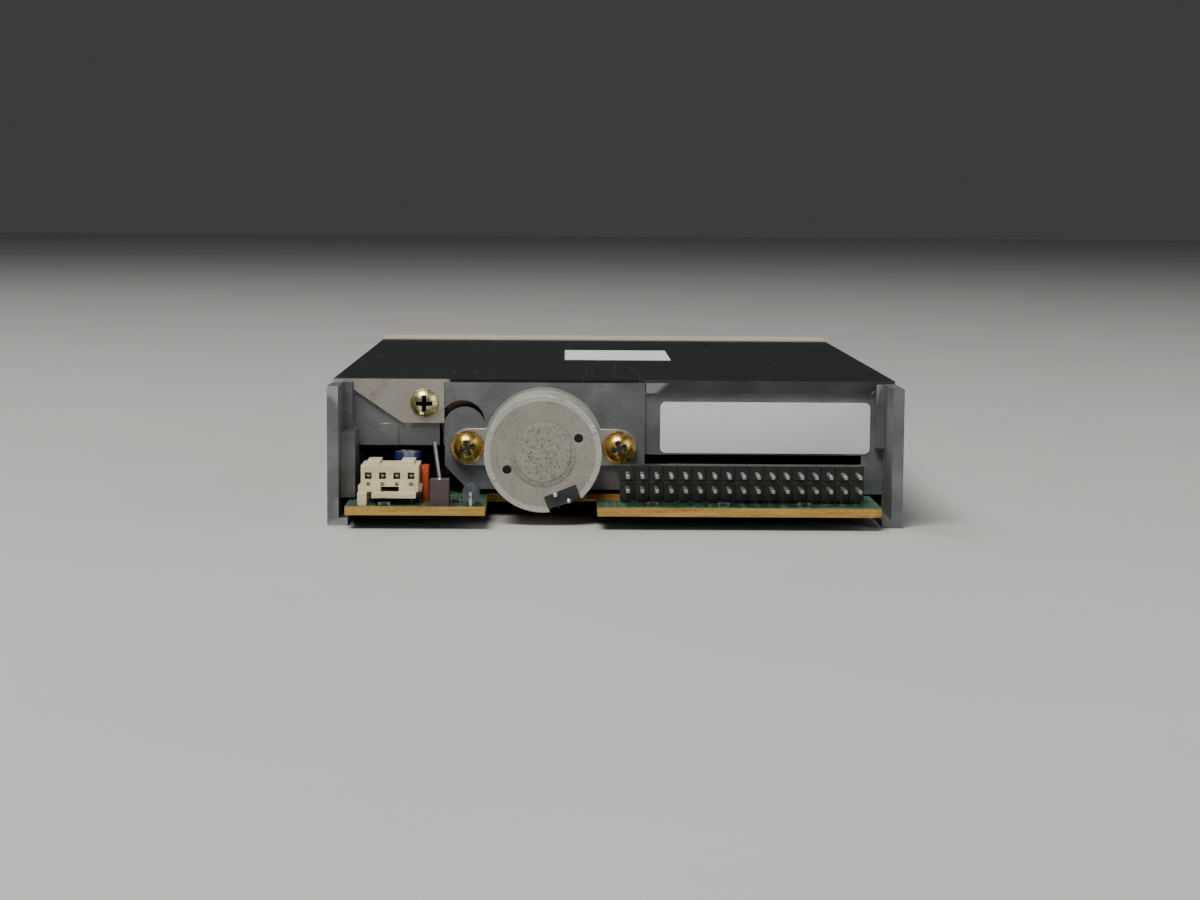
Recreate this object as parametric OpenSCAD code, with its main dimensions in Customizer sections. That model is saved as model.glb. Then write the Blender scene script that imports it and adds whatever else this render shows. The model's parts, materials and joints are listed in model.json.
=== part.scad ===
// Floppy disk drive for 3.5 inch diskettes, one inch high.
// Millimetres, +Z up. The bezel faces -Y and the connectors are at +Y.
// The origin is under the middle of the drive, on the plane it stands on.
// Left and right are those of someone who looks at the connectors, so +X is left.

/* [Overall] */
// Width over the side rails
body_w = 101.6; // [101.6:0.1:108]
// Height to the top of the bezel
body_h = 25.4; // [25.4:0.1:29]
// Length from the face of the bezel to the ends of the side rails
body_len = 148; // [147:0.5:154]
// How far the circuit board reaches behind the rails
board_reach = 5; // [3:0.5:6]

/* [Diskette and eject travel] */
// Width of the diskette that the drive takes
disk_w = 90; // [89.8:0.1:90.4]
// Length of the diskette
disk_len = 94; // [93.6:0.1:94.4]
// Thickness of the diskette
disk_t = 3.3; // [3.2:0.1:3.4]
// Distance from the front of a loaded diskette to its hub's centre
hub_to_front = 49; // [48.5:0.1:49.5]
// How deep a loaded diskette lies behind the bezel's face
disk_inset = 2; // [1.5:0.1:2.5]
// Height of a loaded diskette's underside
load_z = 10.6; // [10.4:0.1:10.8]
// How far the holder drops to load a diskette
load_drop = 3.9; // [3.6:0.1:4.1]
// Travel of the slider and its button
eject_travel = 5.5; // [5:0.1:6]

/* [Frame] */
// Thickness of the side walls and rails
rail_t = 2; // [1.6:0.1:2.2]
// Length of the rails behind the rear wall
tail_len = 12.9; // [12:0.1:14]
// Thickness of the deck
deck_t = 1.4; // [1.2:0.1:1.5]
// Height of the deck's underside
deck_z = 5.8; // [5.7:0.1:6]
// Thickness of the rear wall's middle
rear_t = 3.4; // [3:0.1:4]
// Height of the left panel's lower edge in the rear wall
left_panel_z = 13; // [12:0.1:13.4]
// Height of the right panel's lower edge in the rear wall
right_panel_z = 11.5; // [11.2:0.1:12]
// Height of the feet
foot_h = 1.4; // [1:0.1:1.8]
// Width of the feet
foot_w = 3.6; // [3:0.1:3.8]
// Radius of the threaded side and bottom holes, M3
mount_r = 1.25; // [1.2:0.05:1.4]
// Height of the side holes
side_hole_z = 5; // [4.6:0.1:5.2]
// Distance of the front side holes from the bezel's face
side_hole_y = 32; // [30:0.5:36]
// Distance between the holes of one side
side_pitch = 60; // [56:0.5:62]

/* [Cover and bezel] */
// Thickness of the cover's steel
sheet_t = 0.6; // [0.4:0.1:0.8]
// How far the cover's top lies below the bezel's
cover_drop = 0.3; // [0.1:0.1:0.4]
// Height of the cover's side flanges
flange_h = 2; // [1.5:0.1:3]
// Thickness of the bezel's front
bezel_t = 2.6; // [2.2:0.1:2.8]
// Length of the bezel's hood
hood_len = 14; // [13.5:0.1:14.5]
// Height of the slot in the bezel
slot_h = 4.6; // [4.3:0.1:5]
// Width of the slot in the bezel
slot_w = 91.4; // [91:0.1:92]
// Width of the eject button
button_w = 12; // [10:0.5:13]
// Height of the eject button
button_h = 4.6; // [4:0.1:4.8]
// Sideways place of the eject button
button_x = 34; // [33:0.5:35]
// Sideways place of the activity light
led_x = -34; // [-36:0.5:-32]

/* [Stepping motor] */
// Sideways place of the motor's axis
motor_x = 12.85; // [12.7:0.05:13]
// Height of the motor's axis
motor_z = 12.85; // [12.7:0.05:13]
// Radius of the motor's can
can_r = 10.4; // [10:0.1:10.5]
// Width of the motor's flange over its two ears
ears_w = 33.6; // [33:0.1:34.2]
// Distance between the motor's two screws
ear_pitch = 27.4; // [27:0.1:27.8]
// Lead of the drive screw
screw_lead = 3.75; // [3.5:0.25:4]
// Radius of the drive screw
screw_r = 1.8; // [1.75:0.05:1.85]

/* [Head carriage] */
// Distance from the spindle to the outermost track
track_zero_r = 39.5; // [39:0.1:40]
// Radius of the guide rod
guide_r = 1.25; // [1.1:0.05:1.3]
// Angle through which the upper head's arm lifts
arm_lift = 11; // [10.5:0.5:11.5]

/* [Spindle motor] */
// Radius of the spindle motor's rotor
rotor_r = 23; // [21:0.5:23.5]
// Radius of the hub's disc
hub_r = 12.5; // [11.5:0.1:13]

/* [Circuit board and connectors] */
// Thickness of the circuit board
board_t = 1.6; // [1.2:0.1:1.6]
// Height of the circuit board's underside
board_z = 2.5; // [2.3:0.1:2.6]
// Pitch of the data connector's pins
pin_pitch = 2.54; // [2.5:0.01:2.56]
// Columns of the data connector
pin_columns = 17; // [15:1:17]
// Pitch of the power connector's pins
power_pitch = 2.5; // [2.4:0.05:2.54]
// Ways of the power connector
power_ways = 4; // [3:1:4]

/* [Hidden] */
$fn = 48;

// Overrun of every cut
over = 1;
// Gap between pieces that slide past each other
slide_gap = 0.4;
// Gap between pieces that only come close
near_gap = 0.3;
// Radial clearance of a shaft in its bore
run_gap = 0.04;
// Clearance of a piece that is pushed through a hole
push_gap = 0.1;

// Planes of the whole drive
half_w = body_w / 2;
inner_x = half_w - rail_t;
wall_mid_x = half_w - rail_t / 2;
front_y = -(body_len + board_reach) / 2;
rail_y = front_y + body_len;
edge_y = rail_y + board_reach;
wall_y = rail_y - tail_len;
hood_y = front_y + hood_len;
deck_top = deck_z + deck_t;
deck_mid_z = deck_z + deck_t / 2;
cover_top = body_h - cover_drop;
cover_z = cover_top - sheet_t;
rail_top = cover_z + push_gap;
panel_y = wall_y - sheet_t;
board_top = board_z + board_t;

// Diskette, raised and loaded
disk_x = disk_w / 2;
disk_rear = front_y + disk_inset + disk_len;
spindle_y = front_y + disk_inset + hub_to_front;
raised_z = load_z + load_drop;
head_y = spindle_y + track_zero_r;

// Holder of the diskette
holder_t = 0.6;
holder_play = 0.35;
holder_room = 1;
holder_setback = 11.5;
holder_x = disk_x + holder_play;
holder_out = holder_x + holder_t;
holder_front = front_y + holder_setback;
holder_rear = disk_rear + slide_gap + 2 * holder_t;
lip_top = raised_z - holder_room / 2;
lip_z = lip_top - holder_t;
plate_z = lip_top + disk_t + holder_room;
plate_top = plate_z + holder_t;
lip_w = 4;
head_window_w = 17;
head_window_len = 27;
tongue_w = 6;
tongue_len = 6;
stop_tab_w = 7;
stop_tab_x = 41;
press_w = 6;
press_len = 24;
press_cut = 0.8;
press_x = 26;
press_y = spindle_y - 8;

// Holder pins and the slider's cam slots
pin_r = 0.9;
pin_play = 0.15;
pin_z = (lip_top + plate_z) / 2;
pin_ahead = 22;
pin_behind = 34;
pin_front_y = spindle_y - pin_ahead;
pin_rear_y = spindle_y + pin_behind;
pin_end_x = inner_x - slide_gap;

// Slider
slider_t = 0.8;
slider_end = 3;
slider_x = holder_out + slide_gap;
slider_out = slider_x + slider_t;
slider_front = holder_front + eject_travel;
slider_rear = disk_rear - slider_end;
lever_t = 0.8;
lever_z = plate_top + near_gap;
slider_z = lever_z + lever_t + 2 * near_gap;
slider_top = slider_z + slider_t;
slider_lift = 3.4;
slider_low = deck_top + slider_lift;
slider_bridge = 24;
slider_rim = 8;
slider_window = 11;
cam_share = 0.97;
stem_z = deck_top + slider_t;
stem_w = 6;
stem_depth = 3;
hook_h = 1.7;
hook_w = 3;
hook_x = 38;

// Frame
deck_setback = 8;
bay_len = 14;
bridge_left = 23;
bridge_right = 22;
ledge_top = slider_low - near_gap;
groove_rib = 1.4;
hold_down_w = 4;
hold_down_t = 1.2;
hold_down_ahead = 29;
hold_down_behind = 26;
corner_post_w = 1.5;
corner_post_len = 1.2;
side_rib_in = 4.5;
side_rib_top = 16.2;
side_rib_gap = 5;
right_block_in = 5.9;
side_boss_r = 3.4;
foot_boss_r = 2.9;
hole_depth = 4.8;
drill_share = 0.5;
tip_share = 0.1;
foot_hole_in = 4;
foot_hole_y = 26;
foot_pitch = 70;
anchor_len = 2;
anchor_reach = 12.5;
window_left = 10;
window_right = 19;
window_gap = 3.5;
window_end = 6;
notch_w = 10;
notch_len = 9;
frame_front = hood_y + push_gap;
deck_front = front_y + deck_setback;
bay_y = wall_y - bay_len;
window_front = spindle_y + hub_r + window_gap;
window_rear = wall_y - window_end;
lighten_r = 5;

// Outline of the rear wall
plate_x = -5.5;
wall_low_z = 5.1;
notch_low_x = 26.6;
notch_z = 9.3;
arch_r = 4.1;
arch_shift = 1;
arch_rise = 4.3;
knob_r = 3.8;
knob_shift = 0.6;
knob_rise = 3.4;
arch_x = motor_x + ear_pitch / 2 + arch_shift;
knob_x = motor_x + ear_pitch / 2 + knob_shift;
step_x = 39.2;
step_t = 0.3;
pilot_r = 4;
pilot_len = 2;
panel_t = 2;

// Cover, its tab and its fold
tab_left_x = 47.2;
tab_right_x = 30.8;
tab_low_z = 17.1;
tab_step_x = 38.3;
tab_side_drop = 1.4;
tab_screw_x = 34.4;
tab_screw_z = 20.7;
fold_left_x = -5.7;
fold_right_x = -47.2;
fold_low_z = 22.7;
fold_r = 1;

// Screws, each with head radius, head height, shank radius and shank length
tab_screw_size = [2.6, 1.5, 1.2, 3.4];
ear_screw_size = [2.5, 1.7, 1.2, 4.2];
board_screw_size = [2.2, 1.1, 1, 4.2];
clamp_screw_size = [0.9, 0.5, 0.5, 1.6];
washer_r = 3.05;
washer_t = 0.5;
crown_share = 1.25;
recess_w_share = 0.3;
recess_len_share = 1.15;
recess_depth_share = 0.6;

// Bezel
bezel_r = 1.2;
hood_t = 1.2;
cheek_t = 1.6;
slot_r = 0.8;
scoop_w = 27;
scoop_r = 9;
scoop_depth = 1.5;
rebate_t = 0.7;
rebate_rim = 1.2;
clip_x = 44;
clip_w = 5;
clip_len = 11;
clip_t = 1.6;
lens_w = 4;
lens_h = 2;
lens_z = 9;
lens_back = 2.4;
hinge_rise = 1;
hinge_back = 1.7;
slot_mid_z = raised_z + disk_t / 2;
slot_low_z = slot_mid_z - slot_h / 2;
slot_top_z = slot_mid_z + slot_h / 2;
hinge_z = slot_top_z + hinge_rise;
hinge_y = front_y + bezel_t + hinge_back;
ear_t = 1.6;
ear_r = 2;

// Flap
flap_t = 1;
flap_r = 1.1;
flap_pin_r = 0.7;
flap_x = slot_w / 2 + near_gap;
flap_lap = 0.4;
flap_cut = 3.2;
coil_wire = 0.2;
coil_r = 1.3;
coil_turns = 4;

// Button
button_len = 5;
button_play = 0.25;
button_drop = 2.3;
button_r = 0.5;
button_low = deck_top - button_drop;
dish_r = 22;
dish_depth = 0.5;

// Slider springs
pull_wire = 0.25;
pull_r = 1.1;
pull_turns = 14;
pull_gap = 0.3;
pull_z = slider_top + pull_gap + pull_r + pull_wire;

// Shutter lever
lever_x = 16.6;
lever_back = 1.2;
lever_y = disk_rear - lever_back;
lever_len = 19.5;
lever_r = 2.2;
lever_rest = -97.7;
lever_swing = 104;
lever_pin_r = 1;
lever_pin_drop = 4;
lever_slot_gap = 0.4;
pivot_r = 1.5;
pivot_head_r = 2.6;
pivot_head_t = 0.5;
pivot_h = 2.2;
lever_coil_r = 2.1;
lever_wire = 0.2;

// Carriage
arm_pivot_back = 31;
arm_pivot_z = 15;
pivot_y = head_y + arm_pivot_back;
carriage_ahead = 7;
carriage_behind = 36;
carriage_front = head_y - carriage_ahead;
carriage_rear = head_y + carriage_behind;
carriage_left = 7.5;
carriage_right = -10.8;
carriage_low = 6.6;
carriage_t = 2.6;
carriage_top = carriage_low + carriage_t;
guide_x = -13.2;
guide_z = 8.1;
guide_block_low = 6.3;
guide_block_top = 10.3;
guide_block_w = 5.6;
guide_block_len = 8;
carriage_hole_left = 4;
carriage_hole_right = -9;
carriage_hole_ahead = 5;
carriage_hole_behind = 24;
tower_top = 12.6;
cheek_x = 5.5;
cheek_w = 2;
cheek_len = 5;
cheek_top = 17;
arm_pin_r = 0.75;
arm_pin_reach = 1.8;
arm_hub_r = 1.7;
arm_w = 10.2;
arm_t = 1.4;
arm_tip = 5;
arm_tip_w = 7;
arm_flange = 0.7;
arm_back = 3;
ear_tab_w = 6;
ear_tab_len = 2;
ear_tab_at_share = 0.66;
ear_tab_rise = 0.45;
head_size = [6, 3.4];
head_base = [8.4, 5.6, 0.8];
low_head_z = 12.1;
head_gap = 0.3;
head_corner = 0.5;
arm_slot_w = 3.6;
head_h = 1.4;
arm_coil_r = 2;
arm_wire = 0.2;
head_seat = low_head_z - head_h - head_base[2];
follow_back = 29;
follow_y = head_y + follow_back;
follow_leaf = [0.4, 5, 4.6];
needle_r = 0.35;
needle_tip_r = 0.22;
needle_tip_gap = 0.3;
flag_back = 25;
flag_len = 3;
flag_t = 0.6;
flag_out = 7.1;
flag_top = 13.2;
flag_beam = 0.8;
flag_low = 9.8;

// Guide rod, its lugs and clamps
lug_len = 3;
lug_w = 6;
clamp_t = 0.4;
clamp_screw_at = 2;
clamp_slit = 0.4;

// Drive screw
groove_depth = 0.6;
groove_floor = 25;
groove_side = 65;
groove_steps = 12;
screw_sides = 16;
journal_r = 1;
bearing_r = 2;
bearing_gap = 0.5;
bearing_lug_w = 6.4;
bearing_lug_over = 2.3;
screw_front = holder_rear + bearing_gap;
pilot_gap = 0.5;

// Motor
flange_t = 0.8;
flange_r = 10.85;
ear_h = 6.7;
cap_setback = 0.4;
rotor_end = 1;
cap_t = 0.8;
cap_r = 9.85;
rim_back = 0.12;
crimp_len = 0.7;
crimp_in = 0.1;
cap_ring_r = 5.7;
cap_ring_t = 0.25;
cap_disc_r = 4.9;
cap_hole_r = 0.8;
cap_hole_at = 6.9;
cap_hole_turn = 24;
crimp_w = 1.3;
crimp_turns = [25, 80, 154, 206, 262, 334];
rotor_magnet_r = 5.8;
coil_in_r = 6.2;
coil_out_r = 9.4;
coil_split = 0.6;
shaft_end_gap = 0.3;
terminal_size = [5.8, 6, 2.2];
terminal_drop = 7.65;
terminal_side = 3.45;
terminal_turn = 22;
terminal_proud = 0.35;
terminal_room = 2;
terminal_pin_r = 0.3;
terminal_pin_out = 0.7;
terminal_pin_pitch = 2.6;
ear_screw_turn = 20;
motor_end = rail_y - cap_setback;

// Spindle motor
spindle_board_t = 1;
spindle_board_r = 26.5;
spindle_tongue_w = 44;
spindle_tongue_x = -16;
rotor_low = 0.9;
rotor_t = 0.8;
rotor_wall = 1;
rotor_gap = 0.4;
magnet_t = 2;
magnet_gap = 0.4;
stator_teeth = 9;
tooth_w = 2.6;
tooth_tip_t = 1;
tooth_tip_w = 6;
tooth_curve = 0.5;
stator_hub_r = 8;
stator_drop = 0.4;
winding_t = 0.5;
shaft_r = 1.5;
nose_r = 1.95;
nose_h = 1.2;
bush_r = 4.6;
bush_flange_r = 6.6;
bush_flange_t = 0.8;
hub_rise = 0.2;
hub_rim = 0.6;
rotor_boss_r = 3;
rotor_holes = 6;
hub_t = 1.1;
hub_boss_r = 5;
chuck_r = 10;
drive_pin_at = 10;
chuck_share = 0.7;
drive_pin_r = 1.6;
drive_pin_h = 1.7;
index_size = [4, 3, 1.4];
index_gap = 0.5;
index_turn = 215;
rotor_hole_r = 1.6;
rotor_hole_at = 12;

// Posts, sensor and switches on the deck
post_r = 2.2;
post_tip_r = 1.7;
post_tip_h = 2;
post_x = 34;
post_ahead = 30.5;
post_behind = 35;
sensor_arm = 2.4;
sensor_slot = 2.4;
sensor_len = 6;
sensor_h = 4.8;
sensor_base = 1.2;
switch_size = [10, 6, 2.2];
switch_x = -22;
switch_ahead = 31.5;
plunger_r = 0.8;
plunger_pitch = 5;
plunger_tip = 1;
plunger_sink = 0.7;
switch_floor = 0.2;

// Light
led_r = 1.5;
led_len = 3.4;
led_lead = 0.5;
led_pitch = 2.5;
led_back = 1.2;

// Circuit board
board_side = 3.5;
board_side_right = 4.2;
board_narrow = 8.3;
board_front_gap = 5.5;
board_notch_left = 22.9;
board_notch_right = 3.2;
board_notch_in = 2.5;
board_wide_in = 16;
board_chamfer = 1.2;
board_hole_x = 37;
board_hole_y = 12;
board_hole_mid_x = 18;
board_hole_mid_in = 8;
standoff_r = 2.4;
chip_t = 1.3;
chip_at_share = [[-0.5, 0.4], [0.45, 0.45], [-0.1, 0.3]];
chip_w_share = [0.15, 0.11, 0.12];

// Connectors
pin_w = 0.64;
header_x = -22.42;
header_side = 1.3;
header_tooth = 1;
header_low = 0.5;
header_h = 6.2;
header_depth = 3;
header_in = 1.5;
header_groove = 0.25;
header_rows = [2.3, 4.8];
header_split = 3.5;
header_tail = 2.6;
header_pin_out = 6;
pin_below = 0.9;
power_left = 44.7;
power_side = 1.3;
power_h = 6.8;
power_back = 11.5;
power_face = 3;
power_tab_at = 0.9;
power_tab_in = 0.8;
power_wing = 0.5;
power_lip_in = 1.2;
power_pin_back = 1;
power_tab_h = 0.6;
power_tab_w = 2.3;
power_slot_w = 1.2;
power_slot_h = 1.2;
power_slot_z = 4.4;
power_hole_z = 3.2;
power_hole_w = 0.7;
power_lip_t = 0.9;
power_lip_low = 1.25;
power_lip_len = 1.6;
power_leg_w = 1.6;
power_leg_h = 2.15;
power_window_w = 3.2;
power_window_h = 0.9;
power_window_z = 2.2;
power_floor_t = 0.6;
power_end_gap = 0.4;
power_pin_r = 0.3;

// Parts on the board behind the left opening
filter_x = 30.85;
filter_size = [3.3, 4, 4.5];
filter_in = 1;
filter_lead_r = 0.25;
filter_lead_len = 6.6;
filter_lead_turn = 8;
bead_x = 25.4;
bead_r = 1.5;
bead_z = 2.2;
bead_len = 4.4;
bead_in = 0.6;
bead_lead_r = 0.3;
bead_lead_out = 1.8;
capacitor_x = 37.2;
capacitor_r = 2.3;
capacitor_h = 8.1;
capacitor_back = 15.1;
capacitor_groove = 1.4;
red_x = 33.75;
red_size = [1.3, 3.6, 6.2];
red_in = 3;
red_r = 0.5;

// Flexible circuits
flex_t = 0.15;
head_flex_low = 15.2;
head_flex_w = 7;
head_flex_back = 2;
head_flex_end = 31.6;
head_flex_tail_w = 3.4;
head_flex_tail_x = 24.2;
motor_flex_x = 2.1;
motor_flex_w = 3.5;
motor_flex_in = 6;
motor_flex_out = 5;
motor_flex_up = 1;

// Label and sticker
label_left = -8.3;
label_right = -46.4;
label_low = 11.8;
label_top = 21.1;
label_r = 1;
label_t = 0.12;
sticker_left = 9.1;
sticker_right = -12.3;
sticker_back = 66;
sticker_len = 30;
sticker_t = 0.1;

// Limits about a middle
function mid(x, w) = [x - w / 2, x + w / 2];

// A block between pairs of limits
module span(x, y, z) {
  translate([x[0], y[0], z[0]])
    cube([x[1] - x[0], y[1] - y[0], z[1] - z[0]]);
}

// A flat rectangle between pairs of limits
module area(x, y) {
  translate([x[0], y[0]])
    square([x[1] - x[0], y[1] - y[0]]);
}

// The same with round corners
module round_area(x, y, r) {
  area([x[0] + r, x[1] - r], y);
  area(x, [y[0] + r, y[1] - r]);
  for (cx = [x[0] + r, x[1] - r], cy = [y[0] + r, y[1] - r])
    translate([cx, cy])
      circle(r);
}

// A flat slot with round ends between two points, its sides a share of the ends
module slot_area(p, q, r, sides_share = 1) {
  for (c = [p, q])
    translate(c)
      circle(r);
  translate(p)
    rotate(atan2(q[1] - p[1], q[0] - p[0]))
      translate([0, -r * sides_share])
        square([norm(q - p), 2 * r * sides_share]);
}

// Raises a plan view between two heights
module rise(z) {
  translate([0, 0, z[0]])
    linear_extrude(z[1] - z[0])
      children();
}

// Runs an outline drawn in x and z along Y
module along_y(y) {
  translate([0, y[1], 0])
    rotate([90, 0, 0])
      linear_extrude(y[1] - y[0])
        children();
}

// Runs an outline drawn in y and z along X
module along_x(x) {
  translate([x[0], 0, 0])
    rotate([90, 0, 90])
      linear_extrude(x[1] - x[0])
        children();
}

module rod_x(x, y, z, r) {
  translate([x[0], y, z])
    rotate([0, 90, 0])
      cylinder(r = r, h = x[1] - x[0]);
}

module rod_y(x, y, z, r) {
  translate([x, y[0], z])
    rotate([-90, 0, 0])
      cylinder(r = r, h = y[1] - y[0]);
}

module rod_z(x, y, z, r) {
  translate([x, y, z[0]])
    cylinder(r = r, h = z[1] - z[0]);
}

// The same thing on both sides of the middle plane
module both() {
  children();
  mirror([1, 0, 0])
    children();
}

// Pan screw with a cross recess, its head above the plane z = 0
module pan_screw(s) {
  crown = s[0] * crown_share;
  difference() {
    union() {
      rotate_extrude()
        intersection() {
          translate([0, s[1] - crown])
            circle(crown);
          area([0, s[0]], [0, s[1]]);
        }
      translate([0, 0, -s[3]])
        cylinder(r = s[2], h = s[3] + s[1] / 2);
    }
    for (a = [0, 90])
      rotate(a)
        translate([0, 0, s[1] * (1 - recess_depth_share / 2) + over / 2])
          cube([s[0] * recess_len_share, s[0] * recess_w_share,
            s[1] * recess_depth_share + over], center = true);
  }
}

// Points round one ring of a wire
function ring(r, wire, angle, h, sides) = [
  for (i = [0 : sides - 1])
    let (a = 360 * i / sides)
      [(r + wire * cos(a)) * cos(angle), (r + wire * cos(a)) * sin(angle), h + wire * sin(a)]
];

// Coil of wire round Z that climbs from 0 to its length
module coil(r, wire, turns, length) {
  sides = 5;
  rings = 8 * turns;
  points = [
    for (n = [0 : rings])
      each ring(r, wire, 360 * turns * n / rings, length * n / rings, sides)
  ];
  walls = [
    for (n = [0 : rings - 1], i = [0 : sides - 1])
      let (a = n * sides + i, b = n * sides + (i + 1) % sides)
        each [[a, a + sides, b + sides], [a, b + sides, b]]
  ];
  front_face = [for (i = [0 : sides - 1]) i];
  back_face = [for (i = [0 : sides - 1]) rings * sides + sides - 1 - i];
  polyhedron(points, concat(walls, [front_face, back_face]));
}

// Outline of one side wall, with a rebate for the cover's flange
module side_outline() {
  rebate_x = half_w - sheet_t - push_gap;
  rebate_z = cover_z - flange_h - push_gap;
  polygon([
    [inner_x, 0], [half_w, 0], [half_w, rebate_z], [rebate_x, rebate_z],
    [rebate_x, cover_z], [inner_x, cover_z]
  ]);
}

// Crescent between the arch in the rear wall and the knob that holds the motor's screw
module arch_gap() {
  difference() {
    slot_area([arch_x, motor_z + arch_rise], [arch_x, left_panel_z - arch_r], arch_r);
    slot_area([knob_x, motor_z + knob_rise], [knob_x, wall_low_z], knob_r);
    area([plate_x, knob_x], [wall_low_z, motor_z + knob_rise]);
  }
}

// Middle of the rear wall, which stands flush with the cover's tab and fold
module wall_middle() {
  edge = tab_right_x - push_gap;
  polygon([
    [plate_x, wall_low_z], [notch_low_x, wall_low_z], [edge, notch_z],
    [edge, cover_z], [plate_x, cover_z]
  ]);
}

module rear_wall() {
  difference() {
    union() {
      along_y([wall_y - rear_t, wall_y])
        wall_middle();
      along_y([panel_y - panel_t, panel_y])
        union() {
          area([motor_x, wall_mid_x], [left_panel_z, cover_z]);
          area([-wall_mid_x, motor_x], [right_panel_z, cover_z]);
          area([-wall_mid_x, right_block_in - half_w], [board_top + near_gap, cover_z]);
        }
      span([step_x, wall_mid_x], [wall_y - rear_t, panel_y + step_t],
        [left_panel_z, tab_low_z - push_gap]);
      both()
        span([inner_x - corner_post_w, wall_mid_x], [wall_y - rear_t, wall_y + corner_post_len],
          [left_panel_z, cover_z]);
      span([half_w - side_rib_in, wall_mid_x], [wall_y - rear_t, rail_y - side_rib_gap],
        [board_top + near_gap, side_rib_top]);
    }
    along_y([wall_y - rear_t - over, wall_y + over])
      arch_gap();
    rod_y(motor_x, [wall_y - rear_t - over, wall_y + over], motor_z, pilot_r + run_gap);
    for (s = [-1, 1])
      rod_y(motor_x + s * ear_pitch / 2, [wall_y - ear_screw_size[3], wall_y + over], motor_z,
        ear_screw_size[2] + run_gap);
    rod_y(tab_screw_x, [panel_y - tab_screw_size[3], panel_y + over], tab_screw_z,
      tab_screw_size[2] + run_gap);
  }
}

// Deck with its windows, seen from above
module deck_plan() {
  difference() {
    union() {
      area([-inner_x, inner_x], [deck_front, bay_y]);
      area([-wall_mid_x, wall_mid_x], [frame_front, bay_y]);
      area([-bridge_right, bridge_left], [window_front, wall_y - rear_t / 2]);
    }
    area([-window_right, window_left], [window_front, window_rear]);
    translate([0, spindle_y])
      circle(bush_r);
    area(mid(led_x, notch_w), [deck_front - over, deck_front + notch_len]);
    both()
      translate([(inner_x + window_right) / 2, window_front])
        circle(lighten_r);
    for (x = [-board_hole_x, board_hole_x])
      translate([x, board_hole_y])
        circle(board_screw_size[2] + run_gap);
    translate([board_hole_mid_x, wall_y - board_hole_mid_in])
      circle(board_screw_size[2] + run_gap);
  }
}

module guide_bore() {
  rod_y(guide_x, [window_front - lug_len - over, window_rear + lug_len + over], guide_z,
    guide_r + run_gap);
}

// Lugs on the deck that hold the guide rod and the drive screw's front bearing
module deck_lugs() {
  lug_top = guide_z + guide_r + clamp_t;
  difference() {
    for (y = [window_front - lug_len, window_rear])
      span(mid(guide_x, lug_w), [y, y + lug_len], [deck_z, lug_top]);
    guide_bore();
    rod_y(guide_x - clamp_screw_at, [window_front - lug_len - over, window_rear + lug_len + over],
      guide_z, clamp_screw_size[2] + run_gap);
  }
  difference() {
    span(mid(motor_x, bearing_lug_w),
      [screw_front, screw_front + lug_len], [deck_z, motor_z + bearing_lug_over]);
    rod_y(motor_x, [screw_front - over, screw_front + lug_len + over], motor_z, bearing_r);
  }
}

// Grooves that guide the holder's pins, lugs over the slider and anchors for its springs
module wall_guides() {
  for (y = [pin_front_y, pin_rear_y], s = [-1, 1])
    translate([0, y + s * (pin_r + pin_play + groove_rib / 2), 0])
      span([slider_out + near_gap, wall_mid_x], [-groove_rib / 2, groove_rib / 2],
        [deck_top, plate_top]);
  for (y = [spindle_y - hold_down_ahead, spindle_y + hold_down_behind])
    span([slider_x, wall_mid_x], [y, y + hold_down_w],
      [slider_top + near_gap, slider_top + near_gap + hold_down_t]);
  span([inner_x - anchor_reach, wall_mid_x], [frame_front, frame_front + anchor_len],
    [slider_top + near_gap, cover_z]);
}

module disk_posts() {
  for (x = [-post_x, post_x], y = [spindle_y - post_ahead, spindle_y + post_behind])
    rod_z(x, y, [deck_mid_z, load_z], post_r);
  for (y = [spindle_y - post_ahead, spindle_y + post_behind])
    rod_z(post_x, y, [deck_mid_z, load_z + post_tip_h], post_tip_r);
}

module standoffs() {
  for (p = [[-board_hole_x, board_hole_y], [board_hole_x, board_hole_y],
      [board_hole_mid_x, wall_y - board_hole_mid_in]])
    difference() {
      rod_z(p[0], p[1], [board_top, deck_mid_z], standoff_r);
      rod_z(p[0], p[1], [board_top - over, deck_top], board_screw_size[2] + run_gap);
    }
}

// Blind hole in a side wall, with the cone that a drill leaves
module side_hole(y) {
  rod_x([half_w - hole_depth, half_w + over], y, side_hole_z, mount_r);
  translate([half_w - hole_depth, y, side_hole_z])
    rotate([0, -90, 0])
      cylinder(r1 = mount_r, r2 = tip_share * mount_r, h = drill_share * mount_r);
}

module frame() {
  color("silver") {
    difference() {
      union() {
        both() {
          along_y([frame_front, wall_y + rail_t])
            side_outline();
          span([inner_x, half_w], [wall_y, rail_y], [0, rail_top]);
          span([half_w - foot_w, half_w], [frame_front, rail_y], [0, foot_h]);
          span([slider_x, wall_mid_x], [slider_front + slider_t + near_gap, bay_y],
            [deck_z, ledge_top]);
          for (y = [front_y + side_hole_y, front_y + side_hole_y + side_pitch])
            rod_x([half_w - hole_depth - rail_t / 2, wall_mid_x], y, side_hole_z, side_boss_r);
          for (y = [front_y + foot_hole_y, front_y + foot_hole_y + foot_pitch])
            rod_z(half_w - foot_hole_in, y, [0, deck_mid_z], foot_boss_r);
          wall_guides();
        }
        rise([deck_z, deck_top])
          deck_plan();
      }
      both() {
        for (y = [front_y + side_hole_y, front_y + side_hole_y + side_pitch])
          side_hole(y);
        for (y = [front_y + foot_hole_y, front_y + foot_hole_y + foot_pitch])
          rod_z(half_w - foot_hole_in, y, [-over, hole_depth], mount_r);
      }
      guide_bore();
    }
    rear_wall();
    deck_lugs();
    disk_posts();
    standoffs();
  }
}

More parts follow.
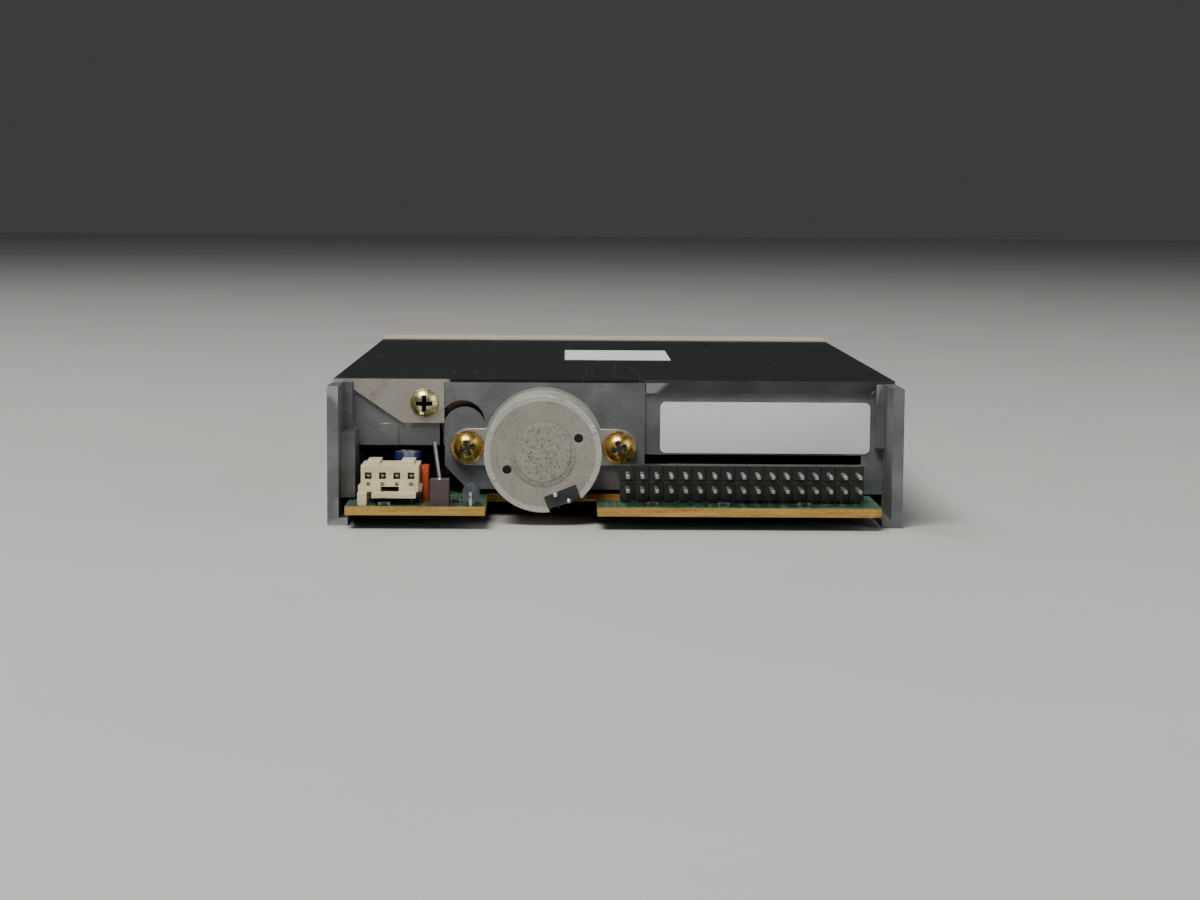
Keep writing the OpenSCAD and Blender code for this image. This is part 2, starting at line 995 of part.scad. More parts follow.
module top_cover() {
  color("dimgray")
    difference() {
      union() {
        rise([cover_z, cover_top])
          area([-half_w, half_w], [frame_front, wall_y]);
        both()
          span([half_w - sheet_t, half_w], [frame_front, wall_y],
            [cover_z - flange_h, cover_top]);
        along_y([panel_y, wall_y])
          union() {
            polygon([
              [tab_right_x, tab_low_z], [tab_step_x, tab_low_z],
              [tab_left_x, cover_z - tab_side_drop], [tab_left_x, cover_top],
              [tab_right_x, cover_top]
            ]);
            area([fold_right_x + fold_r, fold_left_x], [fold_low_z, cover_top]);
            area([fold_right_x, fold_left_x], [fold_low_z + fold_r, cover_top]);
            translate([fold_right_x + fold_r, fold_low_z + fold_r])
              circle(fold_r);
          }
      }
      rod_y(tab_screw_x, [panel_y - over, wall_y + over], tab_screw_z,
        tab_screw_size[2] + run_gap);
    }
}

module tab_screw() {
  color("khaki")
    translate([tab_screw_x, wall_y, tab_screw_z])
      rotate([-90, 0, 0])
        pan_screw(tab_screw_size);
}

module bezel() {
  color("wheat")
    difference() {
      union() {
        along_y([front_y, front_y + bezel_t])
          round_area([-half_w, half_w], [0, body_h], bezel_r);
        span([bezel_r - half_w, half_w - bezel_r], [front_y + bezel_t / 2, hood_y],
          [body_h - hood_t, body_h]);
        span([-half_w, half_w], [front_y + bezel_t, hood_y], [body_h - hood_t, body_h]);
        both() {
          span([half_w - cheek_t, half_w], [front_y + bezel_t / 2, hood_y],
            [bezel_r, body_h - bezel_r]);
          span([half_w - cheek_t, half_w], [front_y + bezel_t, hood_y],
            [slot_mid_z, body_h - hood_t / 2]);
          along_x([flap_x + slide_gap, flap_x + slide_gap + ear_t])
            union() {
              area([front_y + bezel_t / 2, hinge_y], [hinge_z - ear_r, hinge_z + ear_r]);
              translate([hinge_y, hinge_z])
                circle(ear_r);
            }
          span(mid(clip_x, clip_w),
            [front_y + bezel_t / 2, front_y + clip_len], [deck_z - clip_t, deck_z]);
        }
      }
      along_y([front_y - over, front_y + bezel_t + over])
        round_area([-slot_w / 2, slot_w / 2], [slot_low_z, slot_top_z], slot_r);
      along_y([front_y - over, front_y + rebate_t])
        round_area([-slot_w / 2 - rebate_rim, slot_w / 2 + rebate_rim],
          [slot_low_z - rebate_rim, slot_top_z + rebate_rim], slot_r + rebate_rim);
      rod_x([-scoop_w / 2, scoop_w / 2], front_y + scoop_depth - scoop_r, slot_mid_z, scoop_r);
      along_y([front_y - over, front_y + bezel_t + over])
        round_area(
          [button_x - button_w / 2 - button_play, button_x + button_w / 2 + button_play],
          [button_low - button_play, button_low + button_h + button_play],
          button_r + button_play);
      span(mid(led_x, lens_w), [front_y - over, front_y + bezel_t + over],
        mid(lens_z, lens_h));
      both()
        rod_x([flap_x, half_w - cheek_t - near_gap], hinge_y, hinge_z, flap_pin_r + run_gap);
    }
}

module front_flap() {
  pin_x = flap_x + slide_gap + ear_t;
  color("burlywood") {
    span([-flap_x, flap_x - flap_cut], [hinge_y - flap_t + push_gap, hinge_y + push_gap],
      [slot_low_z - flap_lap, hinge_z]);
    span([flap_x - flap_cut - over, flap_x], [hinge_y - flap_t + push_gap, hinge_y + push_gap],
      [slot_low_z - flap_lap, hinge_z - flap_cut / 2]);
    rod_x([-flap_x, flap_x - flap_cut], hinge_y, hinge_z, flap_r);
    rod_x([-pin_x, pin_x], hinge_y, hinge_z, flap_pin_r);
  }
}

module flap_spring() {
  color("lightgray") {
    translate([flap_x - flap_cut + near_gap, hinge_y, hinge_z])
      rotate([0, 90, 0])
        coil(coil_r, coil_wire, coil_turns, flap_cut - near_gap);
  }
}

module eject_button() {
  color("wheat")
    difference() {
      along_y([front_y, front_y + button_len])
        round_area(mid(button_x, button_w),
          [button_low, button_low + button_h], button_r);
      rod_x([button_x - button_w, button_x + button_w], front_y + dish_depth - dish_r,
        button_low + button_h / 2, dish_r);
      span(mid(button_x, stem_w),
        [front_y + button_len - stem_depth, front_y + button_len + over],
        [stem_z, stem_z + slider_t]);
    }
}

// Side arm of the slider with its two sloping cam slots
module slider_arm() {
  difference() {
    area([slider_front, slider_rear], [slider_low, slider_top]);
    for (y = [pin_front_y, pin_rear_y])
      slot_area([y, pin_z], [y + eject_travel, pin_z - load_drop], pin_r + pin_play,
        cam_share);
  }
}

module slider_plate() {
  bridge_end = slider_front + slider_bridge;
  color("gainsboro") {
    rise([slider_z, slider_top])
      difference() {
        union() {
          area([-slider_out, slider_out], [slider_front, bridge_end]);
          both()
            area([slider_out - slider_rim, slider_out], [bridge_end, slider_rear]);
        }
        area([-hook_x + slider_rim, hook_x - slider_rim],
          [slider_front + slider_rim / 2, slider_front + slider_rim / 2 + slider_window]);
      }
    both()
      along_x([slider_x, slider_out])
        slider_arm();
    both()
      span(mid(hook_x, hook_w), [bridge_end - slider_t, bridge_end],
        [slider_z, slider_top + hook_h]);
    span([slider_x, slider_out], [slider_front - stem_w, slider_front + slider_t],
      [stem_z, slider_low + slider_lift]);
    rise([stem_z, stem_z + slider_t])
      union() {
        area([button_x - stem_w / 2, slider_out], [slider_front - stem_w, slider_front]);
        area(mid(button_x, stem_w),
          [front_y + button_len - stem_depth, slider_front]);
      }
  }
}

module slider_springs() {
  start = frame_front + anchor_len + pull_wire + near_gap;
  length = slider_front + slider_bridge - slider_t - start;
  color("lightgray")
    both()
      translate([hook_x, start, pull_z])
        rotate([-90, 0, 0])
          coil(pull_r, pull_wire, pull_turns, length);
}

// Curved slot for the shutter lever's pin
module lever_slot() {
  wide = lever_pin_r + lever_slot_gap;
  reach = 2 * lever_len;
  translate([lever_x, lever_y]) {
    intersection() {
      difference() {
        circle(lever_len + wide);
        circle(lever_len - wide);
      }
      polygon([
        [0, 0],
        for (s = [0 : 4])
          let (a = lever_rest + lever_swing * s / 4)
            [reach * cos(a), reach * sin(a)]
      ]);
    }
    for (a = [lever_rest, lever_rest + lever_swing])
      translate([lever_len * cos(a), lever_len * sin(a)])
        circle(wide);
  }
}

module holder_plan() {
  difference() {
    union() {
      area([-holder_out, holder_out], [holder_front, holder_rear]);
      area([-head_window_w / 2 - tongue_w, -head_window_w / 2], [holder_rear, holder_rear + tongue_len]);
    }
    area([-head_window_w / 2, head_window_w / 2], [holder_rear - head_window_len, holder_rear + over]);
    lever_slot();
    for (x = [-press_x, press_x])
      difference() {
        area([x - press_w / 2 - press_cut, x + press_w / 2 + press_cut],
          [press_y - press_len, press_y + press_cut]);
        area(mid(x, press_w), [press_y - press_len - over, press_y]);
      }
  }
}

module disk_holder() {
  color("gainsboro") {
    rise([plate_z, plate_top])
      holder_plan();
    both() {
      span([holder_x, holder_out], [holder_front, disk_rear], [lip_z, plate_top]);
      span([holder_x - lip_w, holder_out], [holder_front, disk_rear], [lip_z, lip_top]);
      span(mid(stop_tab_x, stop_tab_w),
        [disk_rear + slide_gap, disk_rear + slide_gap + holder_t], [lip_z, plate_top]);
      for (y = [pin_front_y, pin_rear_y])
        rod_x([holder_x, pin_end_x], y, pin_z, pin_r);
    }
  }
}

module shutter_lever() {
  tip = [lever_len * cos(lever_rest), lever_len * sin(lever_rest)];
  color("darkgray")
    translate([lever_x, lever_y, 0]) {
      rise([lever_z, lever_z + lever_t])
        difference() {
          union() {
            slot_area([0, 0], tip, lever_r);
            circle(pivot_head_r);
          }
          circle(pivot_r + run_gap);
        }
      rod_z(tip[0], tip[1], [lever_z + lever_t / 2 - lever_pin_drop, lever_z + lever_t / 2], lever_pin_r);
    }
}

module lever_pivot() {
  color("silver")
    translate([lever_x, lever_y, 0]) {
      rod_z(0, 0, [plate_top, lever_z + lever_t + pivot_h], pivot_r);
      rod_z(0, 0, [lever_z + lever_t + pivot_h, lever_z + lever_t + pivot_h + pivot_head_t],
        pivot_head_r);
    }
}

module lever_spring() {
  color("lightgray")
    translate([lever_x, lever_y, lever_z + lever_t + lever_wire + push_gap])
      coil(lever_coil_r, lever_wire, coil_turns, pivot_h - 2 * lever_wire - 2 * push_gap);
}

// Block on the guide rod
module guide_block(y) {
  span(mid(guide_x, guide_block_w), y,
    [guide_block_low, guide_block_top]);
}

// Flag that tells the sensor when the heads stand on the outermost track
module carriage_flag() {
  side = guide_x - guide_block_w / 2;
  y = [head_y + flag_back - flag_len / 2, head_y + flag_back + flag_len / 2];
  span([side, guide_x + guide_block_w / 2], [y[0], carriage_rear],
    [guide_block_top - flag_t, guide_block_top]);
  span([side, side + flag_t], y, [guide_block_top - flag_t, flag_top]);
  span([side - flag_out, side + flag_t], y, [flag_top - flag_beam, flag_top]);
  span([side - flag_out, side - flag_out + flag_t], y, [flag_low, flag_top]);
}

module head_carriage() {
  ear_far = cheek_x + cheek_w;
  color("saddlebrown") {
    difference() {
      union() {
        rise([carriage_low, carriage_top])
          difference() {
            area([carriage_right, carriage_left], [carriage_front, carriage_rear]);
            area([carriage_hole_right, carriage_hole_left],
              [head_y + carriage_hole_ahead, head_y + carriage_hole_behind]);
          }
        guide_block([carriage_front, carriage_front + guide_block_len]);
        guide_block([carriage_rear - guide_block_len, carriage_rear]);
        span([-cheek_x, cheek_x], [pivot_y - cheek_len / 2, carriage_rear],
          [carriage_low, tower_top]);
        both()
          span([cheek_x, ear_far], mid(pivot_y, cheek_len),
            [carriage_low, cheek_top]);
        span([-head_base[0] / 2, head_base[0] / 2],
          [head_y - head_base[1] / 2, head_y + head_base[1] / 2], [carriage_low, head_seat]);
      }
      rod_y(guide_x, [carriage_front - over, carriage_rear + over], guide_z,
        guide_r + run_gap);
      rod_x([-ear_far - over, ear_far + over], pivot_y, arm_pivot_z, arm_pin_r + run_gap);
    }
    carriage_flag();
  }
}

// A head, its face at z = 0 and its base behind it
module head_block() {
  rise([-head_h, 0])
    round_area([-head_size[0] / 2, head_size[0] / 2], [-head_size[1] / 2, head_size[1] / 2],
      head_corner);
  rise([-head_h - head_base[2], -head_h])
    area([-head_base[0] / 2, head_base[0] / 2], [-head_base[1] / 2, head_base[1] / 2]);
}

module lower_head() {
  color("darkslategray")
    translate([0, head_y, low_head_z])
      head_block();
}

module screw_follower() {
  leaf_x = cheek_x + cheek_w;
  color("silver") {
    span([leaf_x, leaf_x + follow_leaf[0]],
      [follow_y - follow_leaf[1] / 2, follow_y + follow_leaf[1] / 2],
      [motor_z - follow_leaf[2] / 2, motor_z + follow_leaf[2] / 2]);
    rod_x([leaf_x, motor_x - screw_r - needle_tip_gap], follow_y, motor_z, needle_r);
    rod_x([leaf_x, motor_x - screw_r + groove_depth - needle_tip_gap], follow_y, motor_z,
      needle_tip_r);
  }
}

// Arm of the upper head in its lowered position
module level_arm() {
  arm_low = low_head_z + head_gap + head_h + head_base[2];
  tab_low = plate_top - load_drop + ear_tab_rise;
  tab_y = pivot_y - ear_tab_at_share * arm_pivot_back;
  rise([arm_low, arm_low + arm_t])
    difference() {
      union() {
        area([-arm_w / 2, arm_w / 2], [head_y + arm_tip, pivot_y + arm_back]);
        area([-arm_tip_w / 2, arm_tip_w / 2], [head_y - arm_tip, head_y + arm_tip]);
      }
      area([-arm_slot_w / 2, arm_slot_w / 2],
        [pivot_y - arm_coil_r - arm_wire - near_gap, pivot_y + arm_back + over]);
    }
  both()
    span([arm_w / 2 - arm_flange, arm_w / 2], [head_y + arm_tip, pivot_y],
      [arm_low, arm_low + arm_t + arm_flange]);
  span([-arm_w / 2 - ear_tab_w, -arm_w / 2 + arm_flange], mid(tab_y, ear_tab_len),
    [tab_low, arm_low + arm_t + arm_flange]);
  rod_x([-arm_w / 2, arm_w / 2], pivot_y, arm_pivot_z, arm_hub_r);
  rod_x([-arm_w / 2 - arm_pin_reach, arm_w / 2 + arm_pin_reach], pivot_y, arm_pivot_z, arm_pin_r);
}

// Lifts what is drawn in the lowered position
module arm_up() {
  translate([0, pivot_y, arm_pivot_z])
    rotate([-arm_lift, 0, 0])
      translate([0, -pivot_y, -arm_pivot_z])
        children();
}

module upper_arm() {
  color("dimgray")
    arm_up()
      level_arm();
}

module upper_head() {
  color("darkslategray")
    arm_up()
      translate([0, head_y, low_head_z + head_gap])
        mirror([0, 0, 1])
          head_block();
}

module arm_spring() {
  color("lightgray")
    translate([-arm_slot_w / 2 + near_gap, pivot_y, arm_pivot_z])
      rotate([0, 90, 0])
        coil(arm_coil_r, arm_wire, coil_turns, arm_slot_w - 2 * near_gap);
}

module guide_rod() {
  color("silver")
    rod_y(guide_x, [window_front - lug_len, window_rear + lug_len], guide_z, guide_r);
}

// Plate and screw that hold one end of the guide rod, the plate at y = 0
module end_clamp() {
  x = guide_x - clamp_screw_at;
  along_y([0, clamp_t])
    area([guide_x - lug_w / 2, guide_x + guide_r], [deck_top, guide_z + guide_r]);
  rod_y(x, [-clamp_screw_size[3], clamp_t], guide_z, clamp_screw_size[2]);
  difference() {
    rod_y(x, [clamp_t, clamp_t + clamp_screw_size[1]], guide_z, clamp_screw_size[0]);
    span([x - clamp_screw_size[0], x + clamp_screw_size[0]],
      [clamp_t + clamp_screw_size[1] / 2, clamp_t + clamp_screw_size[1] + over],
      mid(guide_z, clamp_slit));
  }
}

module rod_clamps() {
  color("gray") {
    translate([0, window_rear + lug_len, 0])
      end_clamp();
    translate([0, window_front - lug_len, 0])
      mirror([0, 1, 0])
        end_clamp();
  }
}

module lead_screw() {
  thread_front = screw_front + lug_len + near_gap;
  thread_rear = wall_y - rear_t - pilot_gap;
  turns = (thread_rear - thread_front) / screw_lead;
  floor_r = screw_r - groove_depth;
  start = 180 + 360 * (follow_y - thread_front) / screw_lead;
  color("gainsboro") {
    translate([motor_x, thread_front, motor_z])
      rotate([-90, 0, 0])
        linear_extrude(thread_rear - thread_front, twist = 360 * turns,
          slices = ceil(groove_steps * turns), $fn = screw_sides)
          rotate(start)
            polygon([
              for (n = [0 : screw_sides])
                let (a = groove_side + (360 - 2 * groove_side) * n / screw_sides)
                  screw_r * [cos(a), sin(a)],
              for (a = [-groove_floor, 0, groove_floor])
                floor_r * [cos(a), sin(a)]
            ]);
    rod_y(motor_x, [screw_front + bearing_gap, motor_end - shaft_end_gap], motor_z, journal_r);
  }
}

module screw_bearing() {
  color("goldenrod")
    difference() {
      rod_y(motor_x, [screw_front, screw_front + lug_len], motor_z, bearing_r);
      rod_y(motor_x, [screw_front + bearing_gap / 2, screw_front + lug_len + over], motor_z,
        journal_r + run_gap);
    }
}

// Outline of the motor's terminal block, seen from the rear, with a gap and room outside it
module terminal_area(gap, room) {
  half = [terminal_size[0] / 2 + gap, terminal_size[2] / 2 + gap];
  translate([motor_x - terminal_side, motor_z - terminal_drop])
    rotate(-terminal_turn)
      area([-half[0], half[0]], [-half[1] - room, half[1]]);
}

module motor_rotor() {
  color("dimgray")
    difference() {
      rod_y(motor_x, [wall_y + flange_t + rotor_end, motor_end - cap_t - rotor_end], motor_z,
        rotor_magnet_r);
      rod_y(motor_x, [wall_y, motor_end], motor_z, journal_r);
    }
}

module motor_coils() {
  front = wall_y + flange_t + coil_split;
  rear = motor_end - cap_t - coil_split;
  middle = (front + rear) / 2;
  color("chocolate")
    for (y = [[front, middle - coil_split / 2], [middle + coil_split / 2, rear]])
      difference() {
        rod_y(motor_x, y, motor_z, coil_out_r);
        rod_y(motor_x, [front - over, rear + over], motor_z, coil_in_r);
        along_y([front - over, rear + over])
          terminal_area(near_gap, terminal_room);
      }
}

module motor_can() {
  color("lightgray")
    difference() {
      union() {
        rod_y(motor_x, [wall_y + flange_t, motor_end], motor_z, can_r);
        for (a = crimp_turns)
          translate([motor_x, 0, motor_z])
            rotate([0, a, 0])
              span([cap_r - crimp_len, can_r - crimp_in],
                [motor_end - cap_t, motor_end + rim_back], [-crimp_w / 2, crimp_w / 2]);
      }
      rod_y(motor_x, [wall_y, motor_end], motor_z, coil_out_r + push_gap);
      rod_y(motor_x, [motor_end - cap_t, motor_end], motor_z, cap_r);
      along_y([motor_end - terminal_size[1] - near_gap, motor_end + over])
        terminal_area(push_gap, terminal_room);
    }
}

module motor_cap() {
  color("gainsboro")
    difference() {
      union() {
        rod_y(motor_x, [motor_end - cap_t, motor_end], motor_z, cap_r);
        rod_y(motor_x, [motor_end - cap_t, motor_end + cap_ring_t / 2], motor_z, cap_ring_r);
        rod_y(motor_x, [motor_end - cap_t, motor_end + cap_ring_t], motor_z, cap_disc_r);
      }
      for (a = [cap_hole_turn, cap_hole_turn + 180])
        rod_y(motor_x + cap_hole_at * cos(a), [motor_end - cap_t - over, motor_end + over],
          motor_z - cap_hole_at * sin(a), cap_hole_r);
      rod_y(motor_x, [motor_end - cap_t - over, motor_end - push_gap], motor_z,
        journal_r + run_gap);
      along_y([motor_end - cap_t - over, motor_end + over])
        terminal_area(push_gap, terminal_room);
    }
}

module motor_flange() {
  color("silver")
    difference() {
      union() {
        rod_y(motor_x, [wall_y, wall_y + flange_t], motor_z, flange_r);
        along_y([wall_y, wall_y + flange_t])
          slot_area([motor_x - (ears_w - ear_h) / 2, motor_z],
            [motor_x + (ears_w - ear_h) / 2, motor_z], ear_h / 2);
        rod_y(motor_x, [wall_y - pilot_len, wall_y + flange_t], motor_z, pilot_r);
      }
      rod_y(motor_x, [wall_y - pilot_len - over, wall_y + flange_t + over], motor_z,
        journal_r + run_gap);
      for (s = [-1, 1])
        rod_y(motor_x + s * ear_pitch / 2, [wall_y - over, wall_y + flange_t + over], motor_z,
          ear_screw_size[2] + run_gap);
    }
}

module motor_terminals() {
  color("black")
    along_y([motor_end - terminal_size[1], motor_end + terminal_proud])
      terminal_area(0, 0);
  color("lightgray")
    for (s = [-1, 1], n = [1, 2])
      translate([motor_x - terminal_side, motor_end - n * terminal_size[1] / 3,
          motor_z - terminal_drop])
        rotate([0, terminal_turn, 0])
          translate([s * terminal_pin_pitch / 2, 0, -terminal_size[2] / 2 - terminal_pin_out])
            cylinder(r = terminal_pin_r, h = terminal_pin_out + terminal_size[2] / 2);
}

module motor_screws() {
  color("gold")
    for (s = [-1, 1])
      translate([motor_x + s * ear_pitch / 2, wall_y + flange_t + washer_t, motor_z])
        rotate([-90, 0, 0])
          rotate(ear_screw_turn)
            pan_screw(ear_screw_size);
}

module motor_washers() {
  color("goldenrod")
    for (s = [-1, 1])
      difference() {
        rod_y(motor_x + s * ear_pitch / 2, [wall_y + flange_t, wall_y + flange_t + washer_t],
          motor_z, washer_r);
        rod_y(motor_x + s * ear_pitch / 2, [wall_y, rail_y], motor_z,
          ear_screw_size[2] + run_gap);
      }
}

module spindle_board() {
  color("darkgreen")
    rise([deck_z - spindle_board_t, deck_z])
      difference() {
        union() {
          translate([0, spindle_y])
            circle(spindle_board_r);
          area(mid(spindle_tongue_x, spindle_tongue_w), [deck_front, spindle_y]);
        }
        translate([0, spindle_y])
          circle(bush_r + push_gap);
      }
}

module spindle_stator() {
  low = rotor_low + rotor_t + rotor_gap;
  high = deck_z - spindle_board_t - stator_drop;
  tip_r = rotor_r - rotor_wall - magnet_t - magnet_gap;
  color("chocolate")
    difference() {
      union() {
        rod_z(0, spindle_y, [low + winding_t, deck_z - spindle_board_t], stator_hub_r);
        translate([0, spindle_y, 0])
          for (n = [0 : stator_teeth - 1])
            rotate(360 * n / stator_teeth) {
              span([stator_hub_r - over, tip_r - tooth_tip_t], [-tooth_w / 2, tooth_w / 2],
                [low + winding_t, high - winding_t]);
              span([tip_r - tooth_tip_t, tip_r - tooth_curve],
                [-tooth_tip_w / 2, tooth_tip_w / 2], [low + winding_t, high - winding_t]);
              span([stator_hub_r + winding_t, tip_r - 2 * tooth_tip_t],
                [-tooth_w / 2 - winding_t, tooth_w / 2 + winding_t], [low, high]);
            }
      }
      rod_z(0, spindle_y, [rotor_low, deck_z], bush_r + push_gap);
    }
}

module spindle_rotor() {
  color("silver")
    difference() {
      union() {
        rod_z(0, spindle_y, [rotor_low, rotor_low + rotor_t], rotor_r);
        rod_z(0, spindle_y, [rotor_low, rotor_low + rotor_t + rotor_gap], rotor_boss_r);
        difference() {
          rod_z(0, spindle_y, [rotor_low, deck_z - spindle_board_t - rotor_gap], rotor_r);
          rod_z(0, spindle_y, [rotor_low + rotor_t, deck_z], rotor_r - rotor_wall - magnet_t);
        }
      }
      rod_z(0, spindle_y, [rotor_low - over, deck_z], shaft_r);
      for (n = [0 : rotor_holes - 1])
        rod_z(rotor_hole_at * cos(360 * n / rotor_holes),
          spindle_y + rotor_hole_at * sin(360 * n / rotor_holes),
          [rotor_low - over, rotor_low + rotor_t + over], rotor_hole_r);
    }
}

module spindle_shaft() {
  hub_top = load_z + hub_rise;
  color("gainsboro") {
    rod_z(0, spindle_y, [rotor_low, hub_top], shaft_r);
    rod_z(0, spindle_y, [hub_top, hub_top + nose_h], nose_r);
  }
}

module spindle_hub() {
  hub_top = load_z + hub_rise;
  color("silver")
    difference() {
      union() {
        rod_z(0, spindle_y, [hub_top - hub_t, hub_top], hub_r);
        rod_z(0, spindle_y, [deck_top + bush_flange_t + slide_gap, hub_top], hub_boss_r);
      }
      rod_z(0, spindle_y, [deck_top, hub_top + over], shaft_r);
      difference() {
        rod_z(0, spindle_y, [hub_top - hub_rim, hub_top + over], hub_r - hub_rim);
        rod_z(0, spindle_y, [deck_top, hub_top + 2 * over], chuck_r);
      }
      rod_z(0, spindle_y - drive_pin_at * chuck_share, [deck_top, hub_top + over],
        drive_pin_r + push_gap);
    }
}

module spindle_bush() {
  low = rotor_low + rotor_t + rotor_gap + near_gap;
  color("goldenrod")
    difference() {
      union() {
        rod_z(0, spindle_y, [low, deck_top], bush_r);
        rod_z(0, spindle_y, [deck_top, deck_top + bush_flange_t], bush_flange_r);
      }
      rod_z(0, spindle_y, [rotor_low, deck_top + bush_flange_t + over], shaft_r + run_gap);
    }
}

module drive_pin() {
  hub_top = load_z + hub_rise;
  color("gray")
    rod_z(0, spindle_y - drive_pin_at * chuck_share, [hub_top - hub_t, hub_top + drive_pin_h],
      drive_pin_r);
}

module index_sensor() {
  color("black")
    translate([0, spindle_y, 0])
      rotate(index_turn)
        span([rotor_r + index_gap, rotor_r + index_gap + index_size[1]],
          [-index_size[0] / 2, index_size[0] / 2],
          [deck_z - spindle_board_t - index_size[2], deck_z - spindle_board_t]);
}

module track_sensor() {
  x = guide_x - guide_block_w / 2 - flag_out + flag_t / 2;
  y = [head_y + flag_back - sensor_len / 2, head_y + flag_back + sensor_len / 2];
  side = sensor_slot / 2 + sensor_arm;
  color("black")
    difference() {
      span([x - side, x + side], y, [deck_top, deck_top + sensor_h]);
      span(mid(x, sensor_slot), [y[0] - over, y[1] + over],
        [deck_top + sensor_base, deck_top + sensor_h + over]);
    }
}

module switch_body() {
  y = spindle_y - switch_ahead;
  color("black")
    difference() {
      span([switch_x - switch_size[0] / 2, switch_x + switch_size[0] / 2],
        [y - switch_size[1] / 2, y + switch_size[1] / 2],
        [deck_top, deck_top + switch_size[2]]);
      for (s = [-1, 1])
        rod_z(switch_x + s * plunger_pitch / 2, y,
          [deck_top + switch_floor, deck_top + switch_size[2] + over],
          plunger_r + push_gap);
    }
}

module plunger(s) {
  rod_z(switch_x + s * plunger_pitch / 2, spindle_y - switch_ahead,
    [deck_top + switch_size[2] - plunger_sink, load_z + plunger_tip], plunger_r);
}

module protect_plunger() {
  color("ivory")
    plunger(-1);
}

module density_plunger() {
  color("ivory")
    plunger(1);
}

module led() {
  lens_end = front_y + bezel_t + lens_back;
  rear = lens_end + near_gap + led_len;
  color("palegreen")
    rod_y(led_x, [lens_end + near_gap, rear], lens_z, led_r);
  color("silver")
    for (s = [-1, 1]) {
      span([led_x + s * led_pitch / 2 - led_lead / 2, led_x + s * led_pitch / 2 + led_lead / 2],
        [rear - led_lead, rear + led_back], mid(lens_z, led_lead));
      span([led_x + s * led_pitch / 2 - led_lead / 2, led_x + s * led_pitch / 2 + led_lead / 2],
        [rear + led_back - led_lead, rear + led_back], [deck_z, lens_z + led_lead / 2]);
    }
}

module led_lens() {
  color("lightgreen")
    span(mid(led_x, lens_w), [front_y, front_y + bezel_t + lens_back],
      mid(lens_z, lens_h));
}

// Columns of header pins, each a distance along X
function header_column(n) = header_x + (n - (pin_columns - 1) / 2) * pin_pitch;

// Ways of the power connector, each a distance along X
function power_way(n) = power_left - power_side - n * power_pitch;

module main_board() {
  board_left = half_w - board_side;
  board_right = -half_w + board_side_right;
  narrow_x = half_w - board_narrow;
  wide_y = wall_y - board_wide_in;
  notch_y = wall_y - board_notch_in;
  board_front = spindle_y + rotor_r + board_front_gap;
  color("darkgreen")
    rise([board_z, board_top])
      difference() {
        polygon([
          [-narrow_x, board_front], [narrow_x, board_front], [narrow_x, wide_y],
          [board_left, wide_y], [board_left, edge_y], [board_notch_left, edge_y],
          [board_notch_left, notch_y], [board_notch_right, notch_y],
          [board_notch_right, edge_y], [board_right + board_chamfer, edge_y],
          [board_right, edge_y - board_chamfer], [board_right, wide_y],
          [-narrow_x, wide_y]
        ]);
        for (x = [-board_hole_x, board_hole_x])
          translate([x, board_hole_y])
            circle(board_screw_size[2] + run_gap);
        translate([board_hole_mid_x, wall_y - board_hole_mid_in])
          circle(board_screw_size[2] + run_gap);
        for (n = [0 : pin_columns - 1], r = [1, 2])
          translate([header_column(n), header_leg(r)])
            square(pin_w, center = true);
        for (n = [0 : power_ways - 1])
          translate([power_way(n), edge_y - power_back - power_pin_back + pin_w / 2])
            square(pin_w, center = true);
      }
}

// Where the legs of one row of header pins enter the board
function header_leg(r) = rail_y - header_in - header_depth - header_tail / 2 - (r - 1) * pin_pitch;

module chips() {
  board_front = spindle_y + rotor_r + board_front_gap;
  color("black")
    for (n = [0 : len(chip_at_share) - 1])
      translate([chip_at_share[n][0] * half_w,
          board_front + chip_at_share[n][1] * (edge_y - board_front), board_top])
        translate([0, 0, chip_t / 2])
          cube([chip_w_share[n] * body_w, chip_w_share[n] * body_w, chip_t], center = true);
}

module board_screws() {
  color("gold")
    for (p = [[-board_hole_x, board_hole_y], [board_hole_x, board_hole_y],
        [board_hole_mid_x, wall_y - board_hole_mid_in]])
      translate([p[0], p[1], board_z])
        rotate([180, 0, 0])
          pan_screw(board_screw_size);
}

module data_header() {
  rear = rail_y - header_in;
  low = board_top + header_low;
  half = (pin_columns - 1) / 2 * pin_pitch + header_side;
  color("black")
    difference() {
      union() {
        span([header_x - half, header_x + half], [rear - header_depth, rear],
          [low, low + header_h]);
        for (n = [0 : pin_columns - 1])
          span(mid(header_column(n), header_tooth),
            [rear - header_depth, rear], [board_top, low + header_h / 2]);
      }
      for (n = [0 : pin_columns - 2])
        span([header_column(n) + pin_pitch / 2 - header_groove / 2,
            header_column(n) + pin_pitch / 2 + header_groove / 2],
          [rear - header_groove, rear + over], [low - over, low + header_h + over]);
      span([header_x - half - over, header_x + half + over], [rear - header_groove, rear + over],
        [low + header_split - header_groove / 2, low + header_split + header_groove / 2]);
      for (n = [0 : pin_columns - 1], r = [0, 1])
        span(mid(header_column(n), pin_w),
          [rear - header_depth - over, rear + over],
          [low + header_rows[r] - pin_w / 2, low + header_rows[r] + pin_w / 2]);
    }
}

module data_pins() {
  tip = rail_y - header_in + header_pin_out;
  color("gold")
    for (n = [0 : pin_columns - 1], r = [0, 1]) {
      leg = header_leg(r + 1);
      z = board_top + header_low + header_rows[r];
      span(mid(header_column(n), pin_w),
        [leg - pin_w / 2, tip], mid(z, pin_w));
      span(mid(header_column(n), pin_w),
        mid(leg, pin_w), [board_z - pin_below, z + pin_w / 2]);
    }
}

